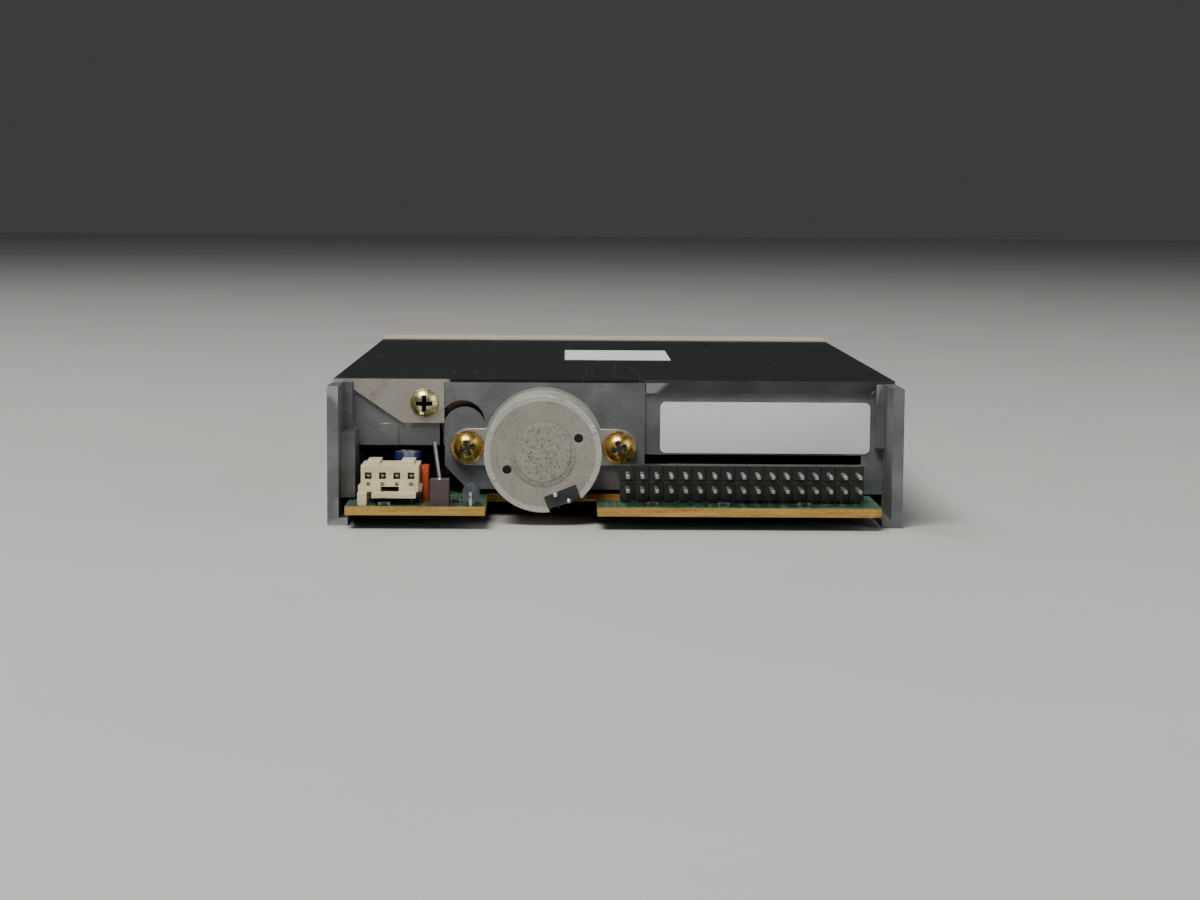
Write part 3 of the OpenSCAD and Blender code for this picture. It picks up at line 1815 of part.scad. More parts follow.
module power_connector() {
  right = power_left - 2 * power_side - (power_ways - 1) * power_pitch;
  rear = edge_y - power_face;
  front = edge_y - power_back;
  middle = (power_left + right) / 2;
  color("ivory")
    difference() {
      union() {
        span([right, power_left], [front, rear], [board_top + power_leg_h, board_top + power_h]);
        for (x = [right + power_tab_at, power_left - power_tab_at - power_tab_w])
          span([x, x + power_tab_w], [front, rear - power_tab_in],
            [board_top + power_h - over, board_top + power_h + power_tab_h]);
        span([right - power_wing, power_left + power_wing],
          [rail_y - red_in + near_gap, rear - power_tab_in],
          [board_top + power_leg_h, board_top + power_hole_z]);
        span([right + power_end_gap, power_left - power_leg_w - power_end_gap],
          [rear - power_lip_in, rear + power_lip_len],
          [board_top + power_lip_low, board_top + power_lip_low + power_lip_t]);
        for (x = [right + power_end_gap, power_left - power_leg_w - power_end_gap - power_leg_w])
          span([x, x + power_leg_w], [rear - power_lip_in, rear],
            [board_top + power_lip_low, board_top + power_leg_h + power_floor_t]);
        span([power_left - power_leg_w + power_wing, power_left + power_wing],
          [rear - power_leg_w, rear + power_lip_len],
          [board_top, board_top + power_leg_h]);
        span([power_left - power_leg_w + power_wing, power_left + power_wing],
          [rear - power_leg_w, rear], [board_top, board_top + power_hole_z]);
        for (x = [right, power_left - power_leg_w])
          span([x, x + power_leg_w], [front, front + power_leg_w],
            [board_top, board_top + power_leg_h + power_floor_t]);
      }
      for (n = [0 : power_ways - 1]) {
        span(mid(power_way(n), power_slot_w),
          [front + power_floor_t, rear + over],
          [board_top + power_slot_z, board_top + power_slot_z + power_slot_h]);
        span(mid(power_way(n), power_hole_w),
          [rear - power_hole_w, rear + over],
          [board_top + power_hole_z, board_top + power_hole_z + power_hole_w]);
        rod_y(power_way(n), [front - over, front + power_floor_t + over],
          board_top + power_slot_z + power_slot_h / 2, power_pin_r);
      }
      span(mid(middle, power_window_w),
        [front + power_floor_t, rear + over],
        [board_top + power_window_z, board_top + power_window_z + power_window_h]);
    }
}

module power_pins() {
  front = edge_y - power_back;
  z = board_top + power_slot_z + power_slot_h / 2;
  color("lightgray")
    for (n = [0 : power_ways - 1]) {
      rod_y(power_way(n), [front - power_pin_back, edge_y - power_face - power_floor_t], z,
        power_pin_r);
      span(mid(power_way(n), pin_w),
        [front - power_pin_back, front - power_pin_back + pin_w],
        [board_z - pin_below, z + power_pin_r]);
    }
}

module filter_block() {
  y = [edge_y - filter_in - filter_size[1], edge_y - filter_in];
  top = board_top + filter_size[2];
  color("dimgray")
    span([filter_x - filter_size[0] / 2, filter_x + filter_size[0] / 2], y, [board_top, top]);
  color("lightgray")
    translate([filter_x, (y[0] + y[1]) / 2, top - over])
      rotate([0, filter_lead_turn, 0])
        cylinder(r = filter_lead_r, h = filter_lead_len + over);
}

module ferrite_bead() {
  y = [edge_y - bead_in - bead_len, edge_y - bead_in];
  z = board_top + bead_z;
  color("dimgray")
    rod_y(bead_x, y, z, bead_r);
  color("lightgray") {
    rod_y(bead_x, [y[0] - bead_lead_out, edge_y - bead_lead_r], z, bead_lead_r);
    for (ly = [y[0] - bead_lead_out + bead_lead_r, edge_y - 2 * bead_lead_r])
      rod_z(bead_x, ly, [board_top, z], bead_lead_r);
  }
}

module electrolytic_capacitor() {
  color("midnightblue")
    difference() {
      rod_z(capacitor_x, edge_y - capacitor_back, [board_top, board_top + capacitor_h],
        capacitor_r);
      difference() {
        rod_z(capacitor_x, edge_y - capacitor_back,
          [board_top + capacitor_groove, board_top + capacitor_groove + flex_t * 2],
          capacitor_r + over);
        rod_z(capacitor_x, edge_y - capacitor_back, [board_z, board_top + capacitor_h],
          capacitor_r - flex_t);
      }
    }
}

module red_capacitor() {
  color("firebrick")
    rise([board_top, board_top + red_size[2]])
      round_area([red_x - red_size[0] / 2, red_x + red_size[0] / 2],
        [rail_y - red_in - red_size[1], rail_y - red_in], red_r);
}

module motor_flex() {
  color("darkgoldenrod") {
    span([motor_flex_x - motor_flex_w, motor_flex_x + motor_flex_w],
      [wall_y - motor_flex_in, rail_y - motor_flex_out], [board_top, board_top + flex_t]);
    span([motor_flex_x + motor_flex_w - flex_t, motor_flex_x + motor_flex_w],
      [rail_y - 2 * motor_flex_out, rail_y - motor_flex_out],
      [board_top, board_top + motor_flex_up]);
  }
}

module head_flex() {
  y = wall_y - rear_t - head_flex_back;
  z = [head_flex_low, head_flex_low + head_flex_w];
  start = cheek_x + cheek_w;
  color("darkgoldenrod") {
    span([start, start + flex_t], [pivot_y - cheek_len / 2, y], z);
    span([start, head_flex_end], [y, y + flex_t], z);
    span([head_flex_tail_x, head_flex_tail_x + head_flex_tail_w], [y, y + flex_t],
      [board_top, head_flex_low + over]);
  }
}

module rear_label() {
  color("white")
    along_y([panel_y, panel_y + label_t])
      round_area([label_right, label_left], [label_low, label_top], label_r);
}

module top_sticker() {
  color("white")
    span([sticker_right, sticker_left], [rail_y - sticker_back - sticker_len, rail_y - sticker_back],
      [cover_top, cover_top + sticker_t]);
}

frame();
top_cover();
tab_screw();
bezel();
front_flap();
flap_spring();
eject_button();
slider_plate();
slider_springs();
disk_holder();
shutter_lever();
lever_pivot();
lever_spring();
head_carriage();
lower_head();
screw_follower();
upper_arm();
upper_head();
arm_spring();
guide_rod();
rod_clamps();
lead_screw();
screw_bearing();
motor_rotor();
motor_coils();
motor_can();
motor_cap();
motor_flange();
motor_terminals();
motor_screws();
motor_washers();
spindle_board();
spindle_stator();
spindle_rotor();
spindle_shaft();
spindle_hub();
spindle_bush();
drive_pin();
index_sensor();
track_sensor();
switch_body();
protect_plunger();
density_plunger();
led();
led_lens();
main_board();
chips();
board_screws();
data_header();
data_pins();
power_connector();
power_pins();
filter_block();
ferrite_bead();
electrolytic_capacitor();
red_capacitor();
motor_flex();
head_flex();
rear_label();
top_sticker();
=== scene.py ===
"""Finishes and fine pieces of a floppy disk drive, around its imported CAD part."""

import json
import math

import bpy
from mathutils import Matrix, Vector


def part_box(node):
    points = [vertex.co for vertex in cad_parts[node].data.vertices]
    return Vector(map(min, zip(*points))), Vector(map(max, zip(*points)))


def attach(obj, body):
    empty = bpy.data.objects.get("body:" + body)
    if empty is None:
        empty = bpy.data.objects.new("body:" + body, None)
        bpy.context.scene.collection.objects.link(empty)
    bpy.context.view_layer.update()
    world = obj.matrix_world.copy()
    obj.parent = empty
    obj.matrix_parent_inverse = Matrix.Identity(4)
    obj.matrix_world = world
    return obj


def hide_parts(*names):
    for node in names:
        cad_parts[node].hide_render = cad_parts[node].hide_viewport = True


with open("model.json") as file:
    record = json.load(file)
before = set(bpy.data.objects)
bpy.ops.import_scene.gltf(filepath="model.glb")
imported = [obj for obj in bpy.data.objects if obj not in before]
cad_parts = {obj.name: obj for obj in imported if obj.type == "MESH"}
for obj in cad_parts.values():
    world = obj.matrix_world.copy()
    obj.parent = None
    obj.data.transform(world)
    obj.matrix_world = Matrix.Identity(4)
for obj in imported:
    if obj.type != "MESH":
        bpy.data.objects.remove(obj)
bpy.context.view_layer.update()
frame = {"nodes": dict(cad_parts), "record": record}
MM = 0.001


def mm(*values):
    """A point or size given in millimetres."""
    return Vector([v * MM for v in values])


# Shader maths


class Signal:
    """A socket's value, with which sums are written as plain expressions."""

    def __init__(self, finish, socket):
        self.finish = finish
        self.socket = socket

    def _sum(self, operation, *inputs):
        return self.finish.node("ShaderNodeMath", {"operation": operation}, *inputs).out()

    def __add__(self, other):
        return self._sum("ADD", self, other)

    def __radd__(self, other):
        return self._sum("ADD", other, self)

    def __sub__(self, other):
        return self._sum("SUBTRACT", self, other)

    def __rsub__(self, other):
        return self._sum("SUBTRACT", other, self)

    def __mul__(self, other):
        return self._sum("MULTIPLY", self, other)

    def __pow__(self, other):
        return self._sum("POWER", self, other)

    def above(self, level, soft):
        """0 below a level, 1 above it, with a soft step between."""
        return self.finish.node(
            "ShaderNodeMapRange",
            {"interpolation_type": "SMOOTHSTEP"},
            Value=self,
            From_Min=level - soft,
            From_Max=level + soft,
        ).out()

    def below(self, level, soft):
        return 1 - self.above(level, soft)

    def away_from(self, middle):
        return (self - middle)._sum("ABSOLUTE", self - middle)


class Made:
    """A node that was made, with its outputs at hand."""

    def __init__(self, finish, node):
        self.finish = finish
        self.node = node

    def out(self, name=0):
        return Signal(self.finish, self.node.outputs[name])


class Finish:
    """A procedural material on one Principled shader."""

    def __init__(self, name, **constants):
        self.material = bpy.data.materials.new(name)
        self.material.use_nodes = True
        self.tree = self.material.node_tree
        self.shader = self.tree.nodes["Principled BSDF"]
        for socket, value in constants.items():
            self.set(socket.replace("_", " "), value)
        self.place = self.node("ShaderNodeTexCoord").out("Object")
        axes = self.node("ShaderNodeSeparateXYZ", {}, self.place)
        self.x, self.y, self.z = axes.out("X"), axes.out("Y"), axes.out("Z")

    def node(self, kind, settings=None, *inputs, **named):
        made = self.tree.nodes.new(kind)
        for key, value in (settings or {}).items():
            if key == "stops":
                ramp = made.color_ramp.elements
                while len(ramp) < len(value):
                    ramp.new(0.5)
                for element, (place, colour) in zip(ramp, value):
                    element.position = place
                    element.color = (*colour, 1)
            else:
                setattr(made, key, value)
        for i, value in enumerate(inputs):
            self._feed(made.inputs[i], value)
        for key, value in named.items():
            self._feed(made.inputs[key.replace("_", " ")], value)
        return Made(self, made)

    def _feed(self, socket, value):
        if isinstance(value, Signal):
            self.tree.links.new(value.socket, socket)
        elif isinstance(value, (tuple, list)) and len(value) == 3 and socket.type == "RGBA":
            socket.default_value = (*value, 1)
        else:
            socket.default_value = value

    def set(self, socket, value):
        self._feed(self.shader.inputs[socket], value)

    def stretched(self, sizes, turn=(0, 0, 0)):
        """Object coordinates, squeezed to the given sizes of a pattern in millimetres."""
        scale = tuple(1 / (s * MM) for s in sizes)
        return self.node(
            "ShaderNodeMapping", {}, self.place, Rotation=turn, Scale=scale
        ).out()

    def noise(self, size, detail=2, rough=0.5, sizes=None, turn=(0, 0, 0), twist=0):
        """Soft noise with blobs of about that many millimetres."""
        where = self.stretched(sizes or (size, size, size), turn)
        return self.node(
            "ShaderNodeTexNoise",
            {},
            Vector=where,
            Scale=1.0,
            Detail=detail,
            Roughness=rough,
            Distortion=twist,
        ).out(0)

    def cells(self, size):
        """Distance from the middle of cells of about that many millimetres."""
        where = self.stretched((size, size, size))
        return self.node("ShaderNodeTexVoronoi", {}, Vector=where, Scale=1.0).out("Distance")

    def mix(self, amount, a, b, blend="MIX"):
        made = self.node("ShaderNodeMix", {"data_type": "RGBA", "blend_type": blend})
        self._feed(made.node.inputs[0], amount)
        self._feed(made.node.inputs[6], a)
        self._feed(made.node.inputs[7], b)
        return Signal(self, made.node.outputs[2])

    def edge(self, low=0.52, high=0.6):
        """1 on worn outer edges."""
        point = self.node("ShaderNodeNewGeometry").out("Pointiness")
        return point.above((low + high) / 2, (high - low) / 2)

    def hollow(self, low=0.38, high=0.48):
        """1 in inner corners and recesses, where painted shade goes."""
        point = self.node("ShaderNodeNewGeometry").out("Pointiness")
        return point.below((low + high) / 2, (high - low) / 2)

    def rises(self, height, depth, strength=1.0):
        """Adds a relief of that depth in millimetres to the surface."""
        bump = self.node(
            "ShaderNodeBump", {}, Height=height, Distance=depth * MM, Strength=strength
        )
        if self.shader.inputs["Normal"].is_linked:
            old = self.shader.inputs["Normal"].links[0].from_socket
            self.tree.links.new(old, bump.node.inputs["Normal"])
        self.set("Normal", bump.out())

    def facing(self):
        """The surface's own direction, as three numbers."""
        normal = self.node("ShaderNodeNewGeometry").out("Normal")
        axes = self.node("ShaderNodeSeparateXYZ", {}, normal)
        return axes.out("X"), axes.out("Y"), axes.out("Z")


# Finishes


def die_cast():
    """Dull grey zinc alloy, blotched by its mould and rubbed on its edges."""
    f = Finish("die_cast", Metallic=0.72)
    cloud = f.noise(9, 4, 0.6, twist=0.6)
    grain = f.noise(0.35, 3, 0.7)
    flow = f.noise(1, 3, 0.6, sizes=(14, 3, 5), turn=(0.3, 0.5, 0.2))
    pits = f.cells(1.1).below(0.16, 0.06)
    tone = cloud * 0.5 + flow * 0.3 + grain * 0.2
    colour = f.node(
        "ShaderNodeValToRGB",
        {
            "stops": [
                (0.3, (0.11, 0.117, 0.126)),
                (0.5, (0.19, 0.198, 0.208)),
                (0.72, (0.3, 0.306, 0.31)),
            ]
        },
        tone,
    ).out()
    colour = f.mix(f.edge(0.57, 0.66) * 0.6, colour, (0.6, 0.61, 0.61))
    colour = f.mix(pits * 0.35, colour, (0.07, 0.07, 0.07))
    f.set("Base Color", colour)
    f.set("Roughness", 0.42 + cloud * 0.22 - f.edge() * 0.12)
    f.rises(grain, 0.02)
    f.rises(cloud, 0.06, 0.5)
    f.rises(1 - pits, 0.03, 0.6)
    return f.material


def cover_steel():
    """Dark satin coating on top, with the bare zinc of the tab and the fold."""
    f = Finish("cover_steel", Specular_IOR_Level=0.12)
    smear = f.noise(1, 4, 0.6, sizes=(26, 60, 20), turn=(0, 0, 0.3), twist=0.8)
    fine = f.noise(0.5, 3, 0.7)
    hair = f.noise(1, 2, 0.5, sizes=(0.25, 22, 3), turn=(0, 0, 0.12))
    scratch = hair.above(0.69, 0.03) * f.noise(16).above(0.5, 0.08)
    cross = f.noise(1, 2, 0.5, sizes=(18, 0.22, 3), turn=(0, 0, 0.5))
    scratch = scratch + cross.above(0.71, 0.02) * 0.6
    dust = f.cells(1.6).below(0.07, 0.03) * f.noise(20).above(0.48, 0.12)
    rear = f.y.above(0.0581, 0.0001) * f.z.below(0.02505, 0.0001)
    tab = rear * f.x.above(0.0300, 0.0005)
    fold = rear * f.x.below(-0.0050, 0.0005)
    dark = f.mix(smear, (0.006, 0.0065, 0.007), (0.018, 0.019, 0.02))
    dark = f.mix(scratch * 0.5, dark, (0.12, 0.12, 0.12))
    dark = f.mix(dust * 0.5, dark, (0.3, 0.29, 0.27))
    stain = f.noise(4.5, 4, 0.65, twist=0.5).above(0.6, 0.08)
    zinc = f.mix(f.noise(3, 3), (0.36, 0.35, 0.31), (0.5, 0.485, 0.43))
    zinc = f.mix(stain * 0.4, zinc, (0.22, 0.17, 0.11))
    worn = f.edge(0.53, 0.6)
    colour = f.mix(tab, dark, zinc)
    colour = f.mix(fold, colour, f.mix(f.noise(5), (0.035, 0.036, 0.037), (0.09, 0.09, 0.088)))
    colour = f.mix(worn * 0.55, colour, (0.45, 0.44, 0.42))
    f.set("Base Color", colour)
    f.set("Metallic", tab * 0.65 + fold * 0.3)
    f.set("Roughness", 0.24 + smear * 0.14 + rear * 0.14 + dust * 0.3)
    f.rises(fine, 0.008)
    f.rises(1 - scratch, 0.01)
    return f.material


def moulded(name, deep, light, rough=0.5, texture=0.25, relief=0.02, **constants):
    """A moulded plastic with a spark-eroded skin, a little dirt and rubbed edges."""
    f = Finish(name, **constants)
    skin = f.noise(texture, 3, 0.7)
    cloud = f.noise(14, 3, 0.5, twist=0.4)
    dirt = f.noise(3.2, 4, 0.65).above(0.62, 0.1)
    colour = f.mix(cloud * 0.7 + skin * 0.3, deep, light)
    colour = f.mix(dirt * 0.25, colour, [c * 0.55 for c in deep])
    colour = f.mix(f.edge(0.54, 0.64) * 0.3, colour, [min(1, c * 1.35 + 0.03) for c in light])
    f.set("Base Color", colour)
    f.set("Roughness", rough + cloud * 0.12 + dirt * 0.1 - skin * 0.06)
    f.rises(skin, relief)
    return f


def rolled(name, deep, light, rough=0.32, metallic=0.9, along=(0.12, 9, 3), rust=0.0):
    """Sheet or drawn steel with rolling lines, finger marks and a few specks."""
    f = Finish(name)
    lines = f.noise(1, 3, 0.6, sizes=along)
    marks = f.noise(7, 4, 0.6, twist=1.0)
    specks = f.cells(0.9).below(0.12, 0.05) * f.noise(6).above(0.5, 0.1)
    colour = f.mix(marks * 0.6 + lines * 0.4, deep, light)
    colour = f.mix(specks * (0.25 + rust), colour, (0.16, 0.1, 0.05))
    colour = f.mix(f.edge(0.57, 0.67) * 0.5, colour, [min(1, c * 1.2 + 0.05) for c in light])
    f.set("Base Color", colour)
    f.set("Metallic", metallic - specks * 0.4)
    f.set("Roughness", rough + marks * 0.18 - lines * 0.08 + specks * 0.25)
    f.rises(lines, 0.004)
    f.rises(marks, 0.02, 0.4)
    return f


def tinned_motor():
    """Tinned steel, freckled all over, with a darker ring round the middle and painted sheen on
    the outer rim and the can's side.
    """
    f = Finish("motor_steel")
    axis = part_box("motor_cap")
    cx, cz = (axis[0].x + axis[1].x) / 2, (axis[0].z + axis[1].z) / 2
    dx, dz = f.x - cx, f.z - cz
    radius = (dx * dx + dz * dz) ** 0.5
    freckles = f.noise(0.45, 5, 0.8).above(0.56, 0.05)
    spots = f.cells(0.8).below(0.2, 0.08) * f.noise(2.4, 3).above(0.47, 0.08)
    middle = radius.below(0.0058, 0.0008)
    ring = radius.above(0.0048, 0.0002) * radius.below(0.0060, 0.0002)
    cloud = f.noise(4, 4, 0.6, twist=0.8)
    colour = f.mix(cloud, (0.3, 0.285, 0.235), (0.48, 0.465, 0.4))
    colour = f.mix(freckles * (0.3 + middle * 0.6), colour, (0.09, 0.08, 0.06))
    colour = f.mix(spots * 0.45, colour, (0.1, 0.085, 0.06))
    colour = f.mix(ring * 0.22, colour, (0.25, 0.24, 0.2))
    # painted sheen: the can's side and the cap's outer rim paled towards bright metal for the
    # light they catch
    rim_sheen = radius.above(0.0094, 0.0002)
    colour = f.mix(rim_sheen * (0.35 + cloud * 0.4), colour, (0.72, 0.71, 0.66))
    f.set("Base Color", colour)
    f.set("Metallic", 0.55 - spots * 0.3)
    f.set("Roughness", 0.4 + cloud * 0.12 + freckles * 0.12 + middle * 0.06)
    f.rises(freckles * -0.5 - spots, 0.02)
    f.rises(cloud, 0.02, 0.5)
    return f.material


def zinc_yellow(name, tint, deep):
    """Yellow chromate on zinc, with its play of gold, brown and a little violet, and painted shade
    in its recesses.
    """
    f = Finish(name, Metallic=0.95)
    play = f.noise(1.1, 3, 0.5, twist=1.5)
    colour = f.node(
        "ShaderNodeValToRGB",
        {
            "stops": [
                (0.2, [c * 0.5 for c in tint]),
                (0.45, tint),
                (0.62, [c * 1.1 for c in tint]),
                (0.85, deep),
            ]
        },
        play,
    ).out()
    grime = f.noise(0.7, 4, 0.7).above(0.6, 0.08)
    colour = f.mix(grime * 0.3, colour, (0.1, 0.065, 0.03))
    colour = f.mix(f.edge(0.53, 0.62) * 0.4, colour, (0.9, 0.8, 0.55))
    # painted shade: inner corners and screw recesses darkened nearly to black
    colour = f.mix(f.hollow(0.4, 0.49) * 0.92, colour, (0.02, 0.014, 0.008))
    f.set("Base Color", colour)
    f.set("Roughness", 0.22 + grime * 0.3 + play * 0.08)
    f.rises(f.noise(0.3, 3), 0.006)
    return f.material


def circuit_board():
    """Green mask with tracks under it, and the sawn ochre edge of the laminate."""
    f = Finish("board_green", Coat_Roughness=0.2)
    nz = f.facing()[2]
    flat = (nz * nz).above(0.5, 0.1)
    lanes = f.noise(1, 0, 0, sizes=(1.0, 26, 50)).above(0.53, 0.015)
    lanes2 = f.noise(1, 0, 0, sizes=(24, 1.1, 50)).above(0.55, 0.015)
    where = f.noise(13, 1).above(0.5, 0.01)
    tracks = lanes * where + lanes2 * (1 - where)
    green = f.mix(f.noise(0.4, 2), (0.022, 0.075, 0.045), (0.032, 0.1, 0.06))
    green = f.mix(tracks * 0.75, green, (0.07, 0.2, 0.11))
    vias = f.cells(3.4).below(0.055, 0.012)
    green = f.mix(vias, green, (0.6, 0.58, 0.5))
    dust = f.noise(2.2, 4, 0.7).above(0.6, 0.1)
    green = f.mix(dust * 0.2, green, (0.25, 0.24, 0.2))
    streak = f.noise(1, 3, 0.6, sizes=(9, 9, 0.3))
    ochre = f.node(
        "ShaderNodeValToRGB",
        {
            "stops": [
                (0.3, (0.2, 0.1, 0.015)),
                (0.5, (0.42, 0.25, 0.05)),
                (0.75, (0.62, 0.42, 0.12)),
            ]
        },
        streak * 0.6 + f.noise(0.5, 3) * 0.4,
    ).out()
    f.set("Base Color", f.mix(flat, ochre, green))
    f.set("Metallic", vias * flat * 0.8)
    f.set("Roughness", 0.62 - flat * 0.28 + dust * 0.2)
    f.set("Coat Weight", flat * 0.4)
    f.rises(tracks * flat, 0.02)
    f.rises(f.noise(0.25, 3) * (1 - flat), 0.03)
    return f.material


def sleeve_blue():
    """Shrunk blue sleeve with a pale band down one side and a bare crimped top."""
    f = Finish("blue_sleeve")
    low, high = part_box("electrolytic_capacitor")
    cx, cy = (low.x + high.x) / 2, (low.y + high.y) / 2
    cap = f.z.above(high.z - 0.00015, 0.00005)
    dx, dy = f.x - cx, f.y - cy
    inside = ((dx * dx + dy * dy) ** 0.5).below(0.0018, 0.0001)
    band = dy.above(0.0006, 0.0001) * f.x.away_from(cx - 0.0003).below(0.0009, 0.0001)
    colour = f.mix(f.noise(2), (0.012, 0.018, 0.09), (0.02, 0.03, 0.14))
    colour = f.mix(band * 0.45, colour, (0.3, 0.34, 0.45))
    colour = f.mix(cap * inside, colour, (0.6, 0.6, 0.6))
    f.set("Base Color", colour)
    f.set("Metallic", cap * inside * 0.9)
    f.set("Roughness", 0.3 + f.noise(0.4) * 0.1)
    f.rises(f.noise(0.7), 0.02)
    return f.material


def paper(name, white, shade, gloss):
    """A printed label left blank: fibres, a soft edge and a few finger marks."""
    f = Finish(name)
    fibre = f.noise(0.3, 4, 0.7)
    marks = f.noise(8, 3, 0.6, twist=0.8)
    colour = f.mix(fibre * 0.5 + marks * 0.5, shade, white)
    grime = f.noise(1.2, 4, 0.7).above(0.66, 0.06)
    colour = f.mix(grime * 0.18, colour, (0.4, 0.36, 0.3))
    f.set("Base Color", colour)
    f.set("Roughness", gloss + fibre * 0.12)
    f.rises(fibre, 0.006)
    return f.material


def windings():
    """Enamelled copper wire, lying turn by turn."""
    f = Finish("copper", Metallic=0.6)
    turns = f.node(
        "ShaderNodeTexWave",
        {"bands_direction": "Y"},
        f.stretched((1, 1, 1)),
        Scale=2.2,
        Distortion=0.4,
    ).out(1)
    colour = f.mix(turns, (0.2, 0.06, 0.02), (0.62, 0.27, 0.1))
    f.set("Base Color", colour)
    f.set("Roughness", 0.28 + f.noise(0.5) * 0.15)
    f.rises(turns, 0.05)
    return f.material


def amber_film():
    """Polyimide film with dark tracks laminated in it."""
    f = Finish("amber_film", Coat_Weight=0.4, Coat_Roughness=0.15)
    tracks = f.node(
        "ShaderNodeTexWave",
        {"bands_direction": "Z"},
        f.stretched((1, 1, 1)),
        Scale=0.32,
        Distortion=0.2,
    ).out(1).above(0.5, 0.1)
    colour = f.mix(f.noise(3), (0.5, 0.22, 0.03), (0.75, 0.4, 0.08))
    colour = f.mix(tracks * 0.5, colour, (0.3, 0.11, 0.015))
    f.set("Base Color", colour)
    f.set("Roughness", 0.3 + f.noise(1.2) * 0.12)
    f.rises(tracks, 0.02)
    return f.material


def clear(name, deep, light):
    """Tinted clear plastic, a little hazy."""
    f = Finish(name, Coat_Weight=0.5, Coat_Roughness=0.05, IOR=1.5)
    haze = f.noise(1.4, 3)
    f.set("Base Color", f.mix(haze, deep, light))
    f.set("Roughness", 0.12 + haze * 0.14)
    f.rises(f.noise(0.5), 0.006)
    return f.material


# Plastics: deep and light colour, roughness, grain and relief in millimetres
MOULDED = {
    "bezel_plastic": ((0.5, 0.455, 0.335), (0.58, 0.53, 0.4), 0.52, 0.3, 0.03),
    "button_plastic": ((0.48, 0.435, 0.32), (0.56, 0.51, 0.385), 0.42, 0.3, 0.015),
    "flap_plastic": ((0.44, 0.4, 0.3), (0.52, 0.475, 0.36), 0.5, 0.3, 0.02),
    "carriage_plastic": ((0.02, 0.02, 0.022), (0.05, 0.05, 0.053), 0.45),
    "arm_plastic": ((0.03, 0.03, 0.033), (0.07, 0.07, 0.073), 0.45),
    "ferrite": ((0.05, 0.05, 0.055), (0.11, 0.11, 0.12), 0.3, 0.2, 0.01),
    "black_plastic": ((0.009, 0.009, 0.01), (0.022, 0.022, 0.024), 0.38, 0.3, 0.015),
    "plunger_plastic": ((0.62, 0.62, 0.58), (0.74, 0.74, 0.7), 0.3),
    "chip_black": ((0.013, 0.013, 0.014), (0.03, 0.03, 0.032), 0.55, 0.2, 0.02),
    "brown_block": ((0.05, 0.03, 0.03), (0.1, 0.066, 0.062), 0.5, 0.4, 0.03),
    "bead_grey": ((0.03, 0.036, 0.042), (0.075, 0.085, 0.1), 0.4, 0.3, 0.02),
    "red_epoxy": ((0.42, 0.05, 0.015), (0.62, 0.1, 0.03), 0.25, 0.8, 0.05),
}

# Metals: deep and light colour, roughness, metallic, size of the lines in millimetres, rust
ROLLED = {
    "sheet_steel": ((0.4, 0.4, 0.385), (0.6, 0.6, 0.57), 0.3),
    "spring_steel": ((0.42, 0.42, 0.43), (0.66, 0.66, 0.67), 0.22, 0.9, (0.5, 0.5, 0.5)),
    "ground_steel": ((0.5, 0.5, 0.5), (0.68, 0.68, 0.68), 0.16, 0.9, (3, 0.15, 3)),
    "flange_steel": ((0.36, 0.36, 0.345), (0.55, 0.55, 0.52), 0.36, 0.8, (4, 4, 0.4), 0.1),
    "sintered": ((0.3, 0.2, 0.08), (0.5, 0.36, 0.16), 0.45, 0.85, (0.4, 0.4, 0.4)),
    "tinned_pins": ((0.3, 0.29, 0.26), (0.5, 0.48, 0.43), 0.34, 0.85, (0.3, 3, 3)),
    "rotor_steel": ((0.42, 0.42, 0.42), (0.62, 0.62, 0.62), 0.28, 0.9, (6, 6, 0.5)),
    "hub_steel": ((0.48, 0.48, 0.48), (0.68, 0.68, 0.68), 0.2, 0.9, (5, 5, 0.5)),
}

FINISHES = {
    "die_cast": die_cast(),
    "cover_steel": cover_steel(),
    "zinc_steel": zinc_yellow("zinc_steel", (0.62, 0.4, 0.1), (0.3, 0.13, 0.03)),
    "screw_tan": zinc_yellow("screw_tan", (0.66, 0.58, 0.3), (0.36, 0.28, 0.12)),
    "motor_steel": tinned_motor(),
    "copper": windings(),
    "led_green": clear("led_green", (0.12, 0.42, 0.1), (0.2, 0.55, 0.16)),
    "lens_green": clear("lens_green", (0.16, 0.42, 0.14), (0.28, 0.56, 0.24)),
    "board_green": circuit_board(),
    "ivory_plastic": moulded(
        "ivory_plastic",
        (0.62, 0.52, 0.31),
        (0.76, 0.68, 0.46),
        0.38,
        0.8,
        0.01,
        Subsurface_Weight=0.15,
        Subsurface_Scale=0.001,
    ).material,
    "blue_sleeve": sleeve_blue(),
    "amber_film": amber_film(),
    "label_white": paper("label_white", (0.86, 0.86, 0.85), (0.7, 0.7, 0.69), 0.38),
    "sticker_white": paper("sticker_white", (0.84, 0.84, 0.88), (0.68, 0.68, 0.74), 0.55),
}
FINISHES.update({name: moulded(name, *values).material for name, values in MOULDED.items()})
FINISHES.update({name: rolled(name, *values).material for name, values in ROLLED.items()})

SLOTS = {s["node"]: s["material_slot"] for s in frame["record"]["subparts"]}
BODIES = {n: b for b, members in frame["record"]["behaviour"]["bodies"].items() for n in members}


# Shaping


def alone(thing):
    """Makes one object the active and only selected one."""
    if bpy.context.mode != "OBJECT":
        bpy.ops.object.mode_set(mode="OBJECT")
    bpy.ops.object.select_all(action="DESELECT")
    thing.select_set(True)
    bpy.context.view_layer.objects.active = thing


def edit(thing):
    alone(thing)
    bpy.ops.object.mode_set(mode="EDIT")


def done():
    bpy.ops.object.mode_set(mode="OBJECT")


def settle(thing):
    """Puts an object's place into its mesh."""
    alone(thing)
    bpy.ops.object.transform_apply(location=True, rotation=True, scale=True)


